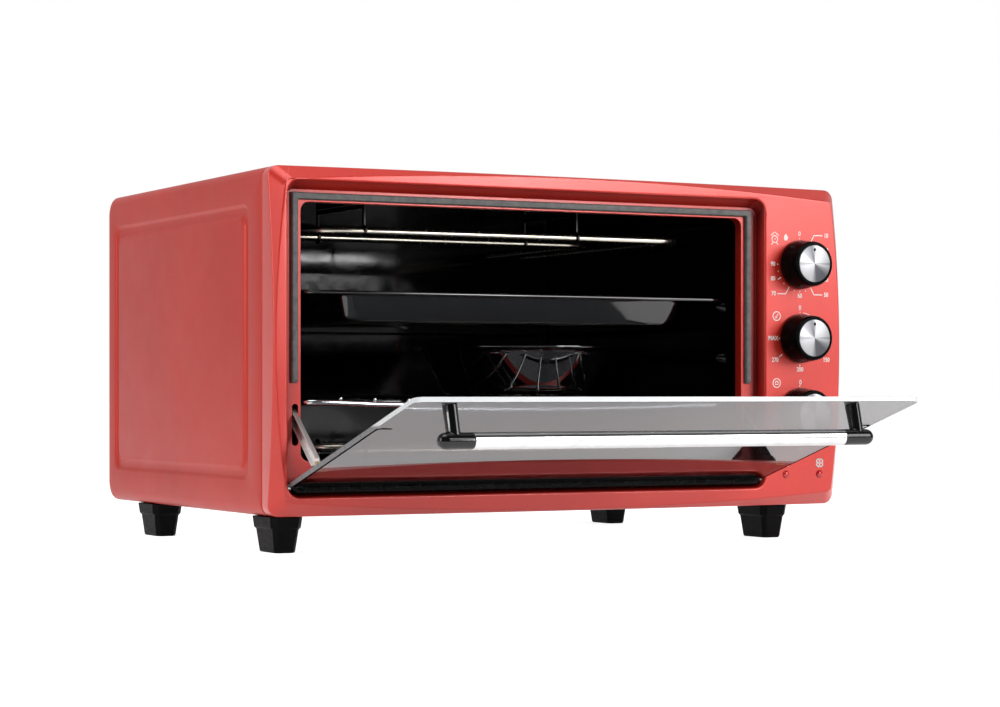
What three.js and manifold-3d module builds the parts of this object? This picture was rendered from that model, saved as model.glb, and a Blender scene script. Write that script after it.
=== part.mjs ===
// A red tabletop mini oven with its glass door part open.
// Millimetres, X to the right along the front, Y to the back, Z up.
// Heights are counted from the underside of the body while the pieces are made;
// the finished group is moved so that its feet stand on Z = 0.

import * as THREE from 'three';
import Module from 'manifold-3d';

const wasm = await Module();
wasm.setup();

// Clearances
const SEAT = 0.3;
const RUN = 0.6;

// Body
const BODY = { width: 520, height: 267, back: 381.5, sheet: 0.8, corner: 9, rearCorner: 11 };

// Front frame: a pressed plate whose outer edge bows out between its corners
const FRAME = {
  depth: 23.6, wall: 1.2, edge: 0.8, flange: 9, faceCorner: 3,
  sideInset: 9.4, sideBow: 7.8, levelInset: 12.6, levelBow: 11.2, bevelDepth: 11.5, bevelBow: 10.3,
};

// Door recess in the frame, and the mouth of the oven inside it, each by its margins to the box round it
const OUTER = { left: 0, right: BODY.width, bottom: 0, top: BODY.height };
const RECESS_MARGIN = { left: 11.2, right: 76.6, bottom: 15, top: 11.4 };
const RECESS = { ...within(OUTER, RECESS_MARGIN), corner: 10, floor: 12 };
const LIP = { firstDepth: 0.8, firstInset: 0.35, rollDepth: 3, rollInset: 1.3, sideDraft: 2, topDraft: 4.6 };
const MOUTH_MARGIN = { left: 15.8, right: 16.4, bottom: 27, top: 15.6 };
const MOUTH = { ...within(RECESS, MOUTH_MARGIN), corner: 7, back: 21 };

// Oven cavity: a little higher than its mouth
const CAVITY = { behind: 36.5, sheet: 0.8, drop: 6, rise: 4, flare: 5, corner: 9 };
const CAVITY_MARGIN = { left: 0, right: 0, bottom: -CAVITY.drop, top: -CAVITY.rise };
const CAVITY_BOX = within(MOUTH, CAVITY_MARGIN);
const CAVITY_BACK = BODY.back - CAVITY.behind;

// Tray runners pressed into both side walls of the cavity: the lowest by its share of the height
const RUNNER = { count: 3, pitch: 43, height: 8, reach: 7, frontGap: 13, rearGap: 15, ramp: 6 };
const LOWEST_RUNNER_SHARE = 0.231;
const RUNNER_OUTLINE_SHARES = [[0, 0], [0.72, 0.14], [1, 0.56], [0.85, 0.94], [0, 1]];
const RUNNER_START = MOUTH.back + RUNNER.frontGap;
const RUNNER_END = CAVITY_BACK - RUNNER.rearGap;

// Door: glass pane, bottom rail and the axis it turns about
const DOOR = { axisRise: 7.7, topDrop: 5.4 };
const HINGE = {
  y: 5.5, z: RECESS.bottom + DOOR.axisRise, openDegrees: 73, pinRadius: 2.5, pinReach: 4.2, pinSeat: 8,
};
const GLASS = {
  front: 4, thickness: 4, gap: 2.4, bottomSeat: 0.7, top: RECESS.top - DOOR.topDrop, corner: 5, notch: 11,
};
const RAIL = { radius: 5.5, gap: 1.6, endRadius: 3.2, endTaper: 0.8, lipChamfer: 1.2, pinWall: 0.8, over: 1 };

// Handle
const HANDLE = {
  leftInset: 32.6, rightInset: 61.3, below: 7, offset: 25.6, barRadius: 6, barWall: 1.2,
  ballReach: 13, innerReach: 13.5, stemWidth: 10.4, stemHeight: 12.6, spigot: 9,
  screwRadius: 2, headRadius: 3.4, headDepth: 2.2, screwLength: 14,
};
const LEFT_STEM = RECESS.left + HANDLE.leftInset;
const RIGHT_STEM = RECESS.right - HANDLE.rightInset;

// Hinge arm on each side, its pivot measured from the door axis in the closed pose
const ARM = {
  up: 38, inward: 7, closedDegrees: 28, perOpenDegree: 0.144, length: 62, half: 4.6, sheet: 1,
  width: 4.2, endRadius: 3, pivotRadius: 1.3, flangeStart: 3.4, holeRadius: 1.5, tipInset: 6.5,
};
const SLOT_PLACE = { fromMouth: 2, width: 5.2, rise: 31.3, height: 32 };
const SLOT = {
  left: MOUTH.left - SLOT_PLACE.fromMouth - SLOT_PLACE.width, right: MOUTH.left - SLOT_PLACE.fromMouth,
  bottom: HINGE.z + SLOT_PLACE.rise, top: HINGE.z + SLOT_PLACE.rise + SLOT_PLACE.height,
};
const BRACKET = { width: 9, lugWidth: 1.9, strip: 1, bottomRise: 6.5, topRise: 45.3, lugRadius: 2.8 };

// Spring from the tail of the arm to an ear on the cavity wall
const SPRING = { radius: 1.8, wire: 0.45, turns: 9, pitch: 2.7, stepsPerTurn: 8, sides: 5, lead: 3.2, hooked: 2 };
const EAR = { behindTail: 53.8, rise: 74.3, thickness: 1.6, half: 4, hole: 1.1, beyond: 2.4 };

// Gasket round the mouth
const GASKET = { width: 5.5, height: 3.4, clear: 1.5, sideClear: 3.05, aboveSlot: 16, foot: 3 };
const GASKET_SHARES = [[-1, 0], [-1, 0.55], [-0.7, 0.9], [0, 1], [0.7, 0.9], [1, 0.55], [1, 0]];

// Controls: their centre line stands right of the recess, their heights are shares of the body's
const PANEL = { fromRecess: 34.6, shaftHole: 3.9, lampLeft: 14, lampRight: 20, lampZ: 25.8, lampHole: 3.3 };
const KNOB_HEIGHT_SHARES = [0.7566, 0.5243, 0.2921];
const PANEL_X = RECESS.right + PANEL.fromRecess;
const KNOB_HEIGHTS = KNOB_HEIGHT_SHARES.map((share) => share * BODY.height);
const LAMP_PLACES = { left: PANEL_X - PANEL.lampLeft, right: PANEL_X + PANEL.lampRight };
const KNOB = {
  baseRadius: 20.6, tipRadius: 18.7, faceRadius: 17, height: 21, crown: 3, facets: 32,
  discRadius: 15.5, discDepth: 1.3, edge: 1, gap: 1, dotOut: 11.6, dotRadius: 1.25,
};
const SHAFT = { radius: 3, bore: 3.35, depthInKnob: 15, inUnit: 8 };
const UNIT = { width: 40, height: 42, depth: 30, corner: 4, bushRadius: 5, bushReach: 7.4, tabWidth: 6, tabDepth: 9 };
const CONTROLS = [
  { name: 'timer', tabs: 2, deeper: 10 },
  { name: 'thermostat', tabs: 2, deeper: 0 },
  { name: 'selector', tabs: 3, deeper: 4 },
];
const CARRIER = { front: 12, sheet: 1.2, left: 26, right: 28, below: 34, above: 36, hole: 5.5 };
const LAMP = {
  radius: 3, domeHeight: 1.6, collar: 4.6, collarDepth: 1.5, barrel: 3.6, barrelLength: 13,
};
const DOME_SHARES = [[0, 1], [0.6, 0.8], [1, 0]];

// Feet
const FOOT = {
  height: 28, width: 27, length: 44, plateHeight: 10, step: 2.6, chamfer: 4.4, taper: 2,
  cupRadius: 5, cupDepth: 9, leftInset: 4.4, rightInset: 43, frontInset: 14, rearInset: 65.5,
};

// Heating rods, each bent from one length and clipped to the ceiling or the floor of the cavity
const ROD = {
  radius: 3.2, fromCeiling: 22, fromFloor: 15, behindMouth: 34, legs: 90, leftInset: 63, rightInset: 29,
  secondInset: 66, bend: 25, tail: 12, hole: 3.7, sides: 8,
};
const ROD_UPPER_Z = CAVITY_BOX.top - ROD.fromCeiling;
const ROD_LOWER_Z = CAVITY_BOX.bottom + ROD.fromFloor;
const ROD_FRONT = MOUTH.back + ROD.behindMouth;
const ROD_SECOND = ROD_FRONT + ROD.legs;
const ROD_LEFT = CAVITY_BOX.left + ROD.leftInset;
const ROD_RIGHT = CAVITY_BOX.right - ROD.rightInset;
const ROD_SECOND_RIGHT = CAVITY_BOX.right - ROD.secondInset;
const HOLDER = { sheet: 1.5, grip: 1.9, strip: 3.6, fromLeft: 9, fromRight: 106 };
const HOLDER_PLACES = { left: ROD_LEFT + HOLDER.fromLeft, right: ROD_RIGHT - HOLDER.fromRight };

// Cooking pieces
const RACK = {
  frameWire: 2.5, crossWire: 1.5, wires: 12, frontGap: 5, rearGap: 4, side: 3.4, corner: 14, endGap: 33.3,
  bite: 0.5, bow: 3,
};
const TRAY = {
  frontGap: 3, rearGap: 8, side: 2.3, sheet: 0.9, bead: 1.7, rim: 8.6, sideRim: 37, depth: 25.2, corner: 20,
  wallCorner: 16, taper: 6, foot: 5,
};
const PAN = {
  fromMiddle: 55, fromMouth: 119, rim: 87, bead: 1.6, body: 81, base: 61, depth: 42, sheet: 1.2, foot: 12, facets: 30,
};
const PAN_FOOT_SHARES = { out: 0.75, up: 0.8 };

// Hidden pieces
const BLANKET = { thickness: 8, bottomRise: 24, behindEar: 11, rearGap: 7 };
const PARTITION = { fromRecess: 4, sheet: 1, frontGap: 5, rearInset: 15.5, hem: 8 };
const BACK = { lap: 8, hem: 22, louvreWidth: 3.4, louvreHeight: 30, louvrePitch: 11, louvreCount: 8 };
const GLAND = { aside: 2, z: 52, hole: 7.5, body: 7, collar: 11, collarDepth: 4, bore: 3.4, reach: 9 };
const TERMINAL = { rearInset: 51.5, width: 36, length: 16, height: 14, ways: 3, wayRadius: 2.6, wayDepth: 6 };
const SUPPLY_X = PANEL_X - GLAND.aside;

// The side panels are shallow pans with a sunk channel round their middle
const SIDE = {
  pan: 16, edgeFront: 2, channelOut: 26.5, channelRear: 22, channelWidth: 11, slope: 3, sink: 2, channelCorner: 10,
};
const SIDE_ARC_SHARES = [0, 0.25, 0.5, 0.75, 1];

// Steps that curves are divided into
const STEPS = { frameSide: 5, frameCorner: 4, panelCorner: 4, sheetBend: 4, loopTurn: 10, railUnder: 8, dip: 9 };

const COLOURS = {
  red: 0xc23a36, sideRed: 0xb84a44, black: 0x0b0b0c, softBlack: 0x1b1b1d, chrome: 0xd9dbdd, zinc: 0xb9b08a,
  enamel: 0x0a0a0b, glass: 0x8d9093, gasket: 0x9a9a98, lamp: 0x8f1014, wool: 0xd8d4c4, steel: 0xb4b7ba,
  aluminium: 0xc9cbcd, ceramic: 0xe6e2d8,
};

const DEGREES = Math.PI / 180;
const HALF_TURN = Math.PI;
const QUARTER_TURN = Math.PI / 2;
const FULL_TURN = 2 * Math.PI;

// The box that stands inside another by a margin on each side
function within(box, margin) {
  return {
    left: box.left + margin.left, right: box.right - margin.right,
    bottom: box.bottom + margin.bottom, top: box.top - margin.top,
  };
}

// Mesh building

function solidOf(points, faces) {
  const vertProperties = new Float32Array(points.length * 3);
  points.forEach((point, index) => vertProperties.set([point.x, point.y, point.z], index * 3));
  let volume = 0;
  for (const [a, b, c] of faces) {
    volume += points[a].dot(new THREE.Vector3().crossVectors(points[b], points[c]));
  }
  const outward = volume < 0 ? faces.map(([a, b, c]) => [a, c, b]) : faces;
  const triVerts = new Uint32Array(outward.flat());
  return new wasm.Manifold(new wasm.Mesh({ numProp: 3, vertProperties, triVerts }));
}

function loft(rings, ringsJoin = false) {
  const count = rings[0].length;
  const points = rings.flat();
  const faces = [];
  const spans = ringsJoin ? rings.length : rings.length - 1;
  for (let ring = 0; ring < spans; ring += 1) {
    const here = ring * count;
    const next = ((ring + 1) % rings.length) * count;
    for (let step = 0; step < count; step += 1) {
      const after = (step + 1) % count;
      faces.push([here + step, here + after, next + after]);
      faces.push([here + step, next + after, next + step]);
    }
  }
  if (!ringsJoin) {
    const last = (rings.length - 1) * count;
    for (let step = 1; step < count - 1; step += 1) {
      faces.push([0, step + 1, step]);
      faces.push([last, last + step, last + step + 1]);
    }
  }
  return solidOf(points, faces);
}

const ALONG = {
  x: (u, v, w) => new THREE.Vector3(w, u, v),
  y: (u, v, w) => new THREE.Vector3(u, w, v),
  z: (u, v, w) => new THREE.Vector3(u, v, w),
};

// A straight prism: the outline lies across the named axis and runs from one place to the other
function prism(outline, axis, from, to, holes = []) {
  const place = ALONG[axis];
  const contour = outline.map(([u, v]) => new THREE.Vector2(u, v));
  const inner = holes.map((hole) => hole.map(([u, v]) => new THREE.Vector2(u, v)));
  const caps = THREE.ShapeUtils.triangulateShape(contour, inner);
  const flat = [contour, ...inner];
  const all = flat.flat();
  const points = [from, to].flatMap((w) => all.map((point) => place(point.x, point.y, w)));
  const faces = [];
  const count = all.length;
  for (const [a, b, c] of caps) {
    const corner = [all[a], all[b], all[c]];
    const ordered = THREE.ShapeUtils.area(corner) > 0 ? [a, b, c] : [a, c, b];
    faces.push([ordered[0], ordered[2], ordered[1]]);
    faces.push(ordered.map((index) => index + count));
  }
  let start = 0;
  flat.forEach((loop, loopIndex) => {
    const positive = THREE.ShapeUtils.area(loop) > 0;
    const outer = loopIndex === 0;
    const forward = positive === outer;
    for (let step = 0; step < loop.length; step += 1) {
      const a = start + step;
      const b = start + ((step + 1) % loop.length);
      const wall = forward ? [[a, b, b + count], [a, b + count, a + count]]
        : [[b, a, a + count], [b, a + count, b + count]];
      faces.push(...wall);
    }
    start += loop.length;
  });
  return solidOf(points, faces);
}

// A turned piece: profile pairs are radius and height along the named axis through a centre point
function turned(profile, axis, centre, segments) {
  const place = ALONG[axis];
  const points = [];
  const faces = [];
  const rows = profile.map(([radius, height]) => {
    const steps = radius === 0 ? 1 : segments;
    const row = [];
    for (let step = 0; step < steps; step += 1) {
      const angle = (step / segments) * FULL_TURN;
      row.push(points.length);
      points.push(place(radius * Math.cos(angle), radius * Math.sin(angle), height).add(centre));
    }
    return row;
  });
  const at = (row, step) => row[step % row.length];
  const ringed = profile[0][0] !== 0;
  const spans = ringed ? rows.length : rows.length - 1;
  for (let index = 0; index < spans; index += 1) {
    const low = rows[index];
    const high = rows[(index + 1) % rows.length];
    for (let step = 0; step < segments; step += 1) {
      const corners = [at(low, step), at(low, step + 1), at(high, step + 1), at(high, step)];
      if (corners[0] !== corners[1]) faces.push([corners[0], corners[1], corners[2]]);
      if (corners[2] !== corners[3]) faces.push([corners[0], corners[2], corners[3]]);
    }
  }
  return solidOf(points, faces);
}

// A round bar along a path of points, ends closed or the path joined into a loop
function bar(path, radius, sides, joined = false) {
  const count = path.length;
  const ahead = path.map((point, index) => {
    const before = joined ? path[(index + count - 1) % count] : path[Math.max(index - 1, 0)];
    const after = joined ? path[(index + 1) % count] : path[Math.min(index + 1, count - 1)];
    return new THREE.Vector3().subVectors(after, before).normalize();
  });
  const seed = Math.abs(ahead[0].z) < Math.SQRT1_2 ? new THREE.Vector3(0, 0, 1) : new THREE.Vector3(1, 0, 0);
  let across = new THREE.Vector3().crossVectors(ahead[0], seed).normalize();
  const rings = path.map((point, index) => {
    const direction = ahead[index];
    across = across.clone().addScaledVector(direction, -across.dot(direction)).normalize();
    const up = new THREE.Vector3().crossVectors(across, direction);
    const ring = [];
    for (let step = 0; step < sides; step += 1) {
      const angle = ((step + 0.5) / sides) * FULL_TURN;
      ring.push(point.clone()
        .addScaledVector(across, radius * Math.cos(angle))
        .addScaledVector(up, radius * Math.sin(angle)));
    }
    return ring;
  });
  return loft(rings, joined);
}

// Corner points replaced by arcs
function roundedPath(corners, radius, steps, joined = false) {
  const path = [];
  corners.forEach((corner, index) => {
    const inside = joined || (index > 0 && index < corners.length - 1);
    if (!inside) {
      path.push(corner);
      return;
    }
    const before = corners[(index + corners.length - 1) % corners.length];
    const after = corners[(index + 1) % corners.length];
    const back = new THREE.Vector3().subVectors(before, corner).normalize();
    const forth = new THREE.Vector3().subVectors(after, corner).normalize();
    const half = back.angleTo(forth) / 2;
    const reach = radius / Math.tan(half);
    const inward = new THREE.Vector3().addVectors(back, forth).normalize();
    const centre = corner.clone().addScaledVector(inward, radius / Math.sin(half));
    const start = corner.clone().addScaledVector(back, reach).sub(centre);
    const finish = corner.clone().addScaledVector(forth, reach).sub(centre);
    const sweep = start.angleTo(finish);
    for (let step = 0; step <= steps; step += 1) {
      const share = step / steps;
      const first = Math.sin((1 - share) * sweep) / Math.sin(sweep);
      const second = Math.sin(share * sweep) / Math.sin(sweep);
      path.push(centre.clone().addScaledVector(start, first).addScaledVector(finish, second));
    }
  });
  return path;
}

function join(first, ...others) {
  return others.reduce((whole, other) => whole.add(other), first);
}

function cut(first, ...others) {
  return others.reduce((whole, other) => whole.subtract(other), first);
}

// Outlines

function circle(u, v, radius, segments) {
  const outline = [];
  for (let step = 0; step < segments; step += 1) {
    const angle = ((step + 0.5) / segments) * FULL_TURN;
    outline.push([u + radius * Math.cos(angle), v + radius * Math.sin(angle)]);
  }
  return outline;
}

function box2(left, bottom, right, top) {
  return [[left, bottom], [right, bottom], [right, top], [left, top]];
}

// A rectangle with rounded corners, counted round from its lower left corner
function roundedBox(left, bottom, right, top, radius, steps) {
  const centres = [
    [left + radius, bottom + radius, 2], [right - radius, bottom + radius, 3],
    [right - radius, top - radius, 0], [left + radius, top - radius, 1],
  ];
  return centres.flatMap(([u, v, quarter]) => {
    const arc = [];
    for (let step = 0; step <= steps; step += 1) {
      const angle = (quarter + step / steps) * QUARTER_TURN;
      arc.push([u + radius * Math.cos(angle), v + radius * Math.sin(angle)]);
    }
    return arc;
  });
}

// A slot outline with round ends, standing upright
function slotOutline(centreU, bottom, top, radius, steps) {
  const ends = [[top - radius, 0], [bottom + radius, 1]];
  return ends.flatMap(([v, half]) => {
    const arc = [];
    for (let step = 0; step <= steps; step += 1) {
      const angle = (half + step / steps) * HALF_TURN;
      arc.push([centreU + radius * Math.cos(angle), v + radius * Math.sin(angle)]);
    }
    return arc;
  });
}

const MIRROR_X = (RECESS.left + RECESS.right) / 2;

function mirrored(solid, about = MIRROR_X) {
  return solid.mirror([1, 0, 0]).translate([2 * about, 0, 0]);
}

// The finished pieces

const group = new THREE.Group();
group.name = 'mini_oven';

function material(colour, roughness, metalness, opacity = 1) {
  return new THREE.MeshStandardMaterial({
    color: colour, roughness, metalness, opacity, transparent: opacity < 1,
  });
}

const FINISH = {
  redEnamel: () => material(COLOURS.red, 0.35, 0.45),
  sideEnamel: () => material(COLOURS.sideRed, 0.45, 0.4),
  blackEnamel: () => material(COLOURS.enamel, 0.12, 0),
  blackPlastic: () => material(COLOURS.softBlack, 0.4, 0),
  chrome: () => material(COLOURS.chrome, 0.15, 1),
  zinc: () => material(COLOURS.zinc, 0.35, 1),
  steel: () => material(COLOURS.steel, 0.4, 0.9),
  aluminium: () => material(COLOURS.aluminium, 0.3, 1),
  rubber: () => material(COLOURS.gasket, 0.75, 0),
  glass: () => material(COLOURS.glass, 0.05, 0, 0.5),
  lamp: () => material(COLOURS.lamp, 0.2, 0),
  wool: () => material(COLOURS.wool, 0.95, 0),
  ceramic: () => material(COLOURS.ceramic, 0.6, 0),
};

function piece(name, solid, finish) {
  const { vertProperties, triVerts } = solid.getMesh();
  const geometry = new THREE.BufferGeometry();
  geometry.setAttribute('position', new THREE.BufferAttribute(new Float32Array(vertProperties), 3));
  geometry.setIndex(new THREE.BufferAttribute(new Uint32Array(triVerts), 1));
  geometry.computeVertexNormals();
  const mesh = new THREE.Mesh(geometry, finish());
  mesh.name = name;
  group.add(mesh);
  return mesh;
}

// Turns a solid made in the closed pose about the door axis
function opened(solid, degrees = HINGE.openDegrees) {
  return solid.translate([0, -HINGE.y, -HINGE.z]).rotate([degrees, 0, 0]).translate([0, HINGE.y, HINGE.z]);
}

// Front frame

// One ring of the frame: side points may bow outwards and change depth along each side
function frameRing(box, radius, depth, sideBow = 0, levelBow = 0, depthBow = 0) {
  const corners = [
    [box.left + radius, box.bottom + radius, 2], [box.right - radius, box.bottom + radius, 3],
    [box.right - radius, box.top - radius, 0], [box.left + radius, box.top - radius, 1],
  ];
  const outward = [[0, -levelBow], [sideBow, 0], [0, levelBow], [-sideBow, 0]];
  const ring = [];
  corners.forEach(([u, v, quarter], index) => {
    for (let step = 0; step <= STEPS.frameCorner; step += 1) {
      const angle = (quarter + step / STEPS.frameCorner) * QUARTER_TURN;
      ring.push(new THREE.Vector3(u + radius * Math.cos(angle), depth, v + radius * Math.sin(angle)));
    }
    const [nextU, nextV, nextQuarter] = corners[(index + 1) % corners.length];
    const from = ring[ring.length - 1];
    const nextAngle = nextQuarter * QUARTER_TURN;
    const toX = nextU + radius * Math.cos(nextAngle);
    const toZ = nextV + radius * Math.sin(nextAngle);
    for (let step = 1; step <= STEPS.frameSide; step += 1) {
      const share = step / (STEPS.frameSide + 1);
      const bow = 1 - (2 * share - 1) ** 2;
      ring.push(new THREE.Vector3(
        from.x + (toX - from.x) * share + outward[index][0] * bow,
        depth - depthBow * bow,
        from.z + (toZ - from.z) * share + outward[index][1] * bow,
      ));
    }
  });
  return ring;
}

function inset(box, side, level = side, top = level) {
  return { left: box.left + side, right: box.right - side, bottom: box.bottom + level, top: box.top - top };
}

function frontFrame() {
  const { wall, edge, flange, depth } = FRAME;
  const face = inset(OUTER, FRAME.sideInset, FRAME.levelInset);
  const floorBox = inset(RECESS, LIP.sideDraft, LIP.sideDraft, LIP.topDraft);
  const rollBox = inset(RECESS, LIP.rollInset);
  const floorCorner = RECESS.corner - LIP.sideDraft;
  const backFace = inset(face, wall / 2);
  const rings = [
    frameRing(face, FRAME.faceCorner, 0, FRAME.sideBow, FRAME.levelBow),
    frameRing(RECESS, RECESS.corner, 0),
    frameRing(inset(RECESS, LIP.firstInset), RECESS.corner - LIP.firstInset, LIP.firstDepth),
    frameRing(rollBox, RECESS.corner - LIP.rollInset, LIP.rollDepth),
    frameRing(floorBox, floorCorner, RECESS.floor),
    frameRing(MOUTH, MOUTH.corner, RECESS.floor),
    frameRing(MOUTH, MOUTH.corner, MOUTH.back),
    frameRing(inset(MOUTH, -wall), MOUTH.corner + wall, MOUTH.back),
    frameRing(inset(MOUTH, -wall), MOUTH.corner + wall, RECESS.floor + wall),
    frameRing(inset(floorBox, -wall), floorCorner + wall, RECESS.floor + wall),
    frameRing(inset(rollBox, -wall), RECESS.corner, LIP.rollDepth + edge),
    frameRing(inset(RECESS, -wall), RECESS.corner + wall, wall),
    frameRing(backFace, FRAME.faceCorner, wall, FRAME.sideBow, FRAME.levelBow),
    frameRing(inset(OUTER, wall), BODY.corner - wall, FRAME.bevelDepth + edge, 0, 0, FRAME.bevelBow),
    frameRing(inset(OUTER, wall), BODY.corner - wall, depth - wall),
    frameRing(inset(OUTER, flange), FRAME.faceCorner, depth - wall),
    frameRing(inset(OUTER, flange), FRAME.faceCorner, depth),
    frameRing(inset(OUTER, edge), BODY.corner - edge, depth),
    frameRing(OUTER, BODY.corner, depth - edge),
    frameRing(OUTER, BODY.corner, FRAME.bevelDepth, 0, 0, FRAME.bevelBow),
  ];
  const slotCentre = (SLOT.left + SLOT.right) / 2;
  const slotRadius = (SLOT.right - SLOT.left) / 2;
  const slot = prism(
    slotOutline(slotCentre, SLOT.bottom, SLOT.top, slotRadius, 3), 'y', RECESS.floor - wall, RECESS.floor + 2 * wall,
  );
  const pinHole = prism(
    circle(HINGE.y, HINGE.z, HINGE.pinRadius + SEAT, 12), 'x', RECESS.left - 2 * wall, RECESS.left + RECESS.corner,
  );
  const holes = KNOB_HEIGHTS.map(
    (height) => prism(circle(PANEL_X, height, PANEL.shaftHole, 16), 'y', -wall, 2 * wall),
  );
  const lampHoles = Object.values(LAMP_PLACES).map(
    (x) => prism(circle(x, PANEL.lampZ, PANEL.lampHole, 14), 'y', -wall, 2 * wall),
  );
  return cut(loft(rings, true), slot, mirrored(slot), pinHole, mirrored(pinHole), ...holes, ...lampHoles);
}

// Gasket: a soft bead round the top and both sides of the mouth

function doorGasket() {
  const half = GASKET.width / 2;
  const back = RECESS.floor - SEAT;
  const leftX = MOUTH.left - GASKET.sideClear - half;
  const rightX = MOUTH.right + GASKET.sideClear + half;
  const topZ = MOUTH.top + GASKET.clear + half;
  const end = SLOT.top + GASKET.aboveSlot;
  const section = (x, z, outX, outZ, tall = GASKET.height) => GASKET_SHARES.map(([across, rise]) => (
    new THREE.Vector3(x + outX * across * half, back - rise * tall, z + outZ * across * half)
  ));
  const low = GASKET.height / 2;
  return loft([
    section(leftX, end, -1, 0, low), section(leftX, end + GASKET.foot, -1, 0), section(leftX, topZ, -1, 1),
    section(rightX, topZ, 1, 1), section(rightX, end + GASKET.foot, 1, 0), section(rightX, end, 1, 0, low),
  ]);
}

// Cabinet panels

function sideRing(x, edgeInset, frontInset, corner) {
  const left = FRAME.depth + SEAT + frontInset;
  return roundedBox(
    left, edgeInset, BODY.back - edgeInset, BODY.height - edgeInset, corner, STEPS.panelCorner,
  ).map(([y, z]) => new THREE.Vector3(x, y, z));
}

// The front corners of the pan are tight where they meet the frame
function sidePanRing(x, edgeInset, frontInset, rearCorner, frontCorner) {
  const front = FRAME.depth + SEAT + frontInset;
  const rear = BODY.back - edgeInset;
  const bottom = edgeInset;
  const top = BODY.height - edgeInset;
  const corners = [
    [front + frontCorner, bottom + frontCorner, frontCorner, 2],
    [rear - rearCorner, bottom + rearCorner, rearCorner, 3],
    [rear - rearCorner, top - rearCorner, rearCorner, 0],
    [front + frontCorner, top - frontCorner, frontCorner, 1],
  ];
  return corners.flatMap(([y, z, radius, quarter]) => {
    const arc = [];
    for (let step = 0; step <= STEPS.panelCorner; step += 1) {
      const angle = (quarter + step / STEPS.panelCorner) * QUARTER_TURN;
      arc.push(new THREE.Vector3(x, y + radius * Math.cos(angle), z + radius * Math.sin(angle)));
    }
    return arc;
  });
}

function sidePanel() {
  const radius = BODY.corner;
  const channelRing = (x, further) => {
    const rearShift = SIDE.channelOut - SIDE.channelRear;
    return sideRing(x, SIDE.channelOut + further, SIDE.channelOut + further, SIDE.channelCorner)
      .map((point) => point.setY(point.y + (point.y > BODY.back / 2 ? rearShift : 0)));
  };
  const skin = (thick) => {
    const channel = [
      channelRing(thick, SIDE.channelWidth),
      channelRing(SIDE.sink + thick, SIDE.channelWidth - SIDE.slope),
      channelRing(SIDE.sink + thick, SIDE.slope),
      channelRing(thick, 0),
    ];
    const arc = SIDE_ARC_SHARES.map((share) => {
      const angle = share * QUARTER_TURN;
      const bend = radius - thick;
      const x = radius - bend * Math.cos(angle);
      const edgeInset = radius - bend * Math.sin(angle);
      const frontBend = Math.max(SIDE.edgeFront - x, 0);
      const frontInset = thick + SIDE.edgeFront - Math.sqrt(SIDE.edgeFront ** 2 - frontBend ** 2);
      return sidePanRing(x, edgeInset, frontInset, BODY.rearCorner - thick, SIDE.edgeFront);
    });
    return [...channel, ...arc, sidePanRing(SIDE.pan, thick, thick, BODY.rearCorner - thick, SIDE.edgeFront)];
  };
  const outside = skin(0);
  const inside = skin(BODY.sheet);
  const count = outside[0].length;
  const points = [...outside, ...inside].flat();
  const faces = [];
  const strip = (here, next) => {
    for (let step = 0; step < count; step += 1) {
      const after = (step + 1) % count;
      faces.push([here + step, here + after, next + after]);
      faces.push([here + step, next + after, next + step]);
    }
  };
  const innerStart = outside.length * count;
  for (let ring = 0; ring < outside.length - 1; ring += 1) {
    strip(ring * count, (ring + 1) * count);
    strip(innerStart + (ring + 1) * count, innerStart + ring * count);
  }
  strip((outside.length - 1) * count, innerStart + (inside.length - 1) * count);
  for (let step = 1; step < count - 1; step += 1) {
    faces.push([0, step + 1, step]);
    faces.push([innerStart, innerStart + step, innerStart + step + 1]);
  }
  return solidOf(points, faces);
}

// Top or bottom sheet with its rear edge bent towards the back panel, and a joggled lap on each side
function levelPanel(isTop) {
  const { sheet, height, back, rearCorner } = BODY;
  const sign = isTop ? -1 : 1;
  const base = isTop ? height : 0;
  const front = FRAME.depth + SEAT;
  const bend = (radius) => {
    const arc = [];
    for (let step = 0; step <= STEPS.sheetBend; step += 1) {
      const angle = (step / STEPS.sheetBend) * QUARTER_TURN;
      arc.push([back - rearCorner + radius * Math.sin(angle), base + sign * (rearCorner - radius * Math.cos(angle))]);
    }
    return arc;
  };
  const hemEnd = base + sign * BACK.hem;
  const outline = [
    [front, base], ...bend(rearCorner), [back, hemEnd], [back - sheet, hemEnd],
    ...bend(rearCorner - sheet).reverse(), [front, base + sign * sheet],
  ];
  const left = SIDE.pan + SEAT;
  const right = BODY.width - SIDE.pan - SEAT;
  const main = prism(outline, 'x', left, right);
  const lapFront = front + BACK.lap;
  const lapBack = back - 2 * rearCorner;
  const near = base + sign * (sheet / 2);
  const under = base + sign * (sheet + SEAT);
  const deep = base + sign * (2 * sheet + SEAT);
  const reach = SIDE.pan - BACK.lap;
  const inner = left + BACK.lap / 2;
  const lap = prism(
    [[reach, under], [left, under], [left, near], [inner, near], [inner, deep], [reach, deep]],
    'y', lapFront, lapBack,
  );
  return { main: join(main, lap, mirrored(lap, BODY.width / 2)), left, right };
}

function topPanel() {
  return levelPanel(true).main;
}

// The bottom sheet carries air slots below the controls
function bottomPanel() {
  const { main } = levelPanel(false);
  const slots = [];
  for (let index = 0; index < BACK.louvreCount; index += 1) {
    const x = PANEL_X + (index - (BACK.louvreCount - 1) / 2) * (BACK.louvreWidth * 2) - BACK.louvreWidth;
    slots.push(prism(
      slotOutline(x, BODY.back / 2, BODY.back / 2 + BACK.louvreHeight, BACK.louvreWidth / 2, 2),
      'z', -BODY.sheet, 2 * BODY.sheet,
    ));
  }
  return cut(main, ...slots);
}

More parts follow.
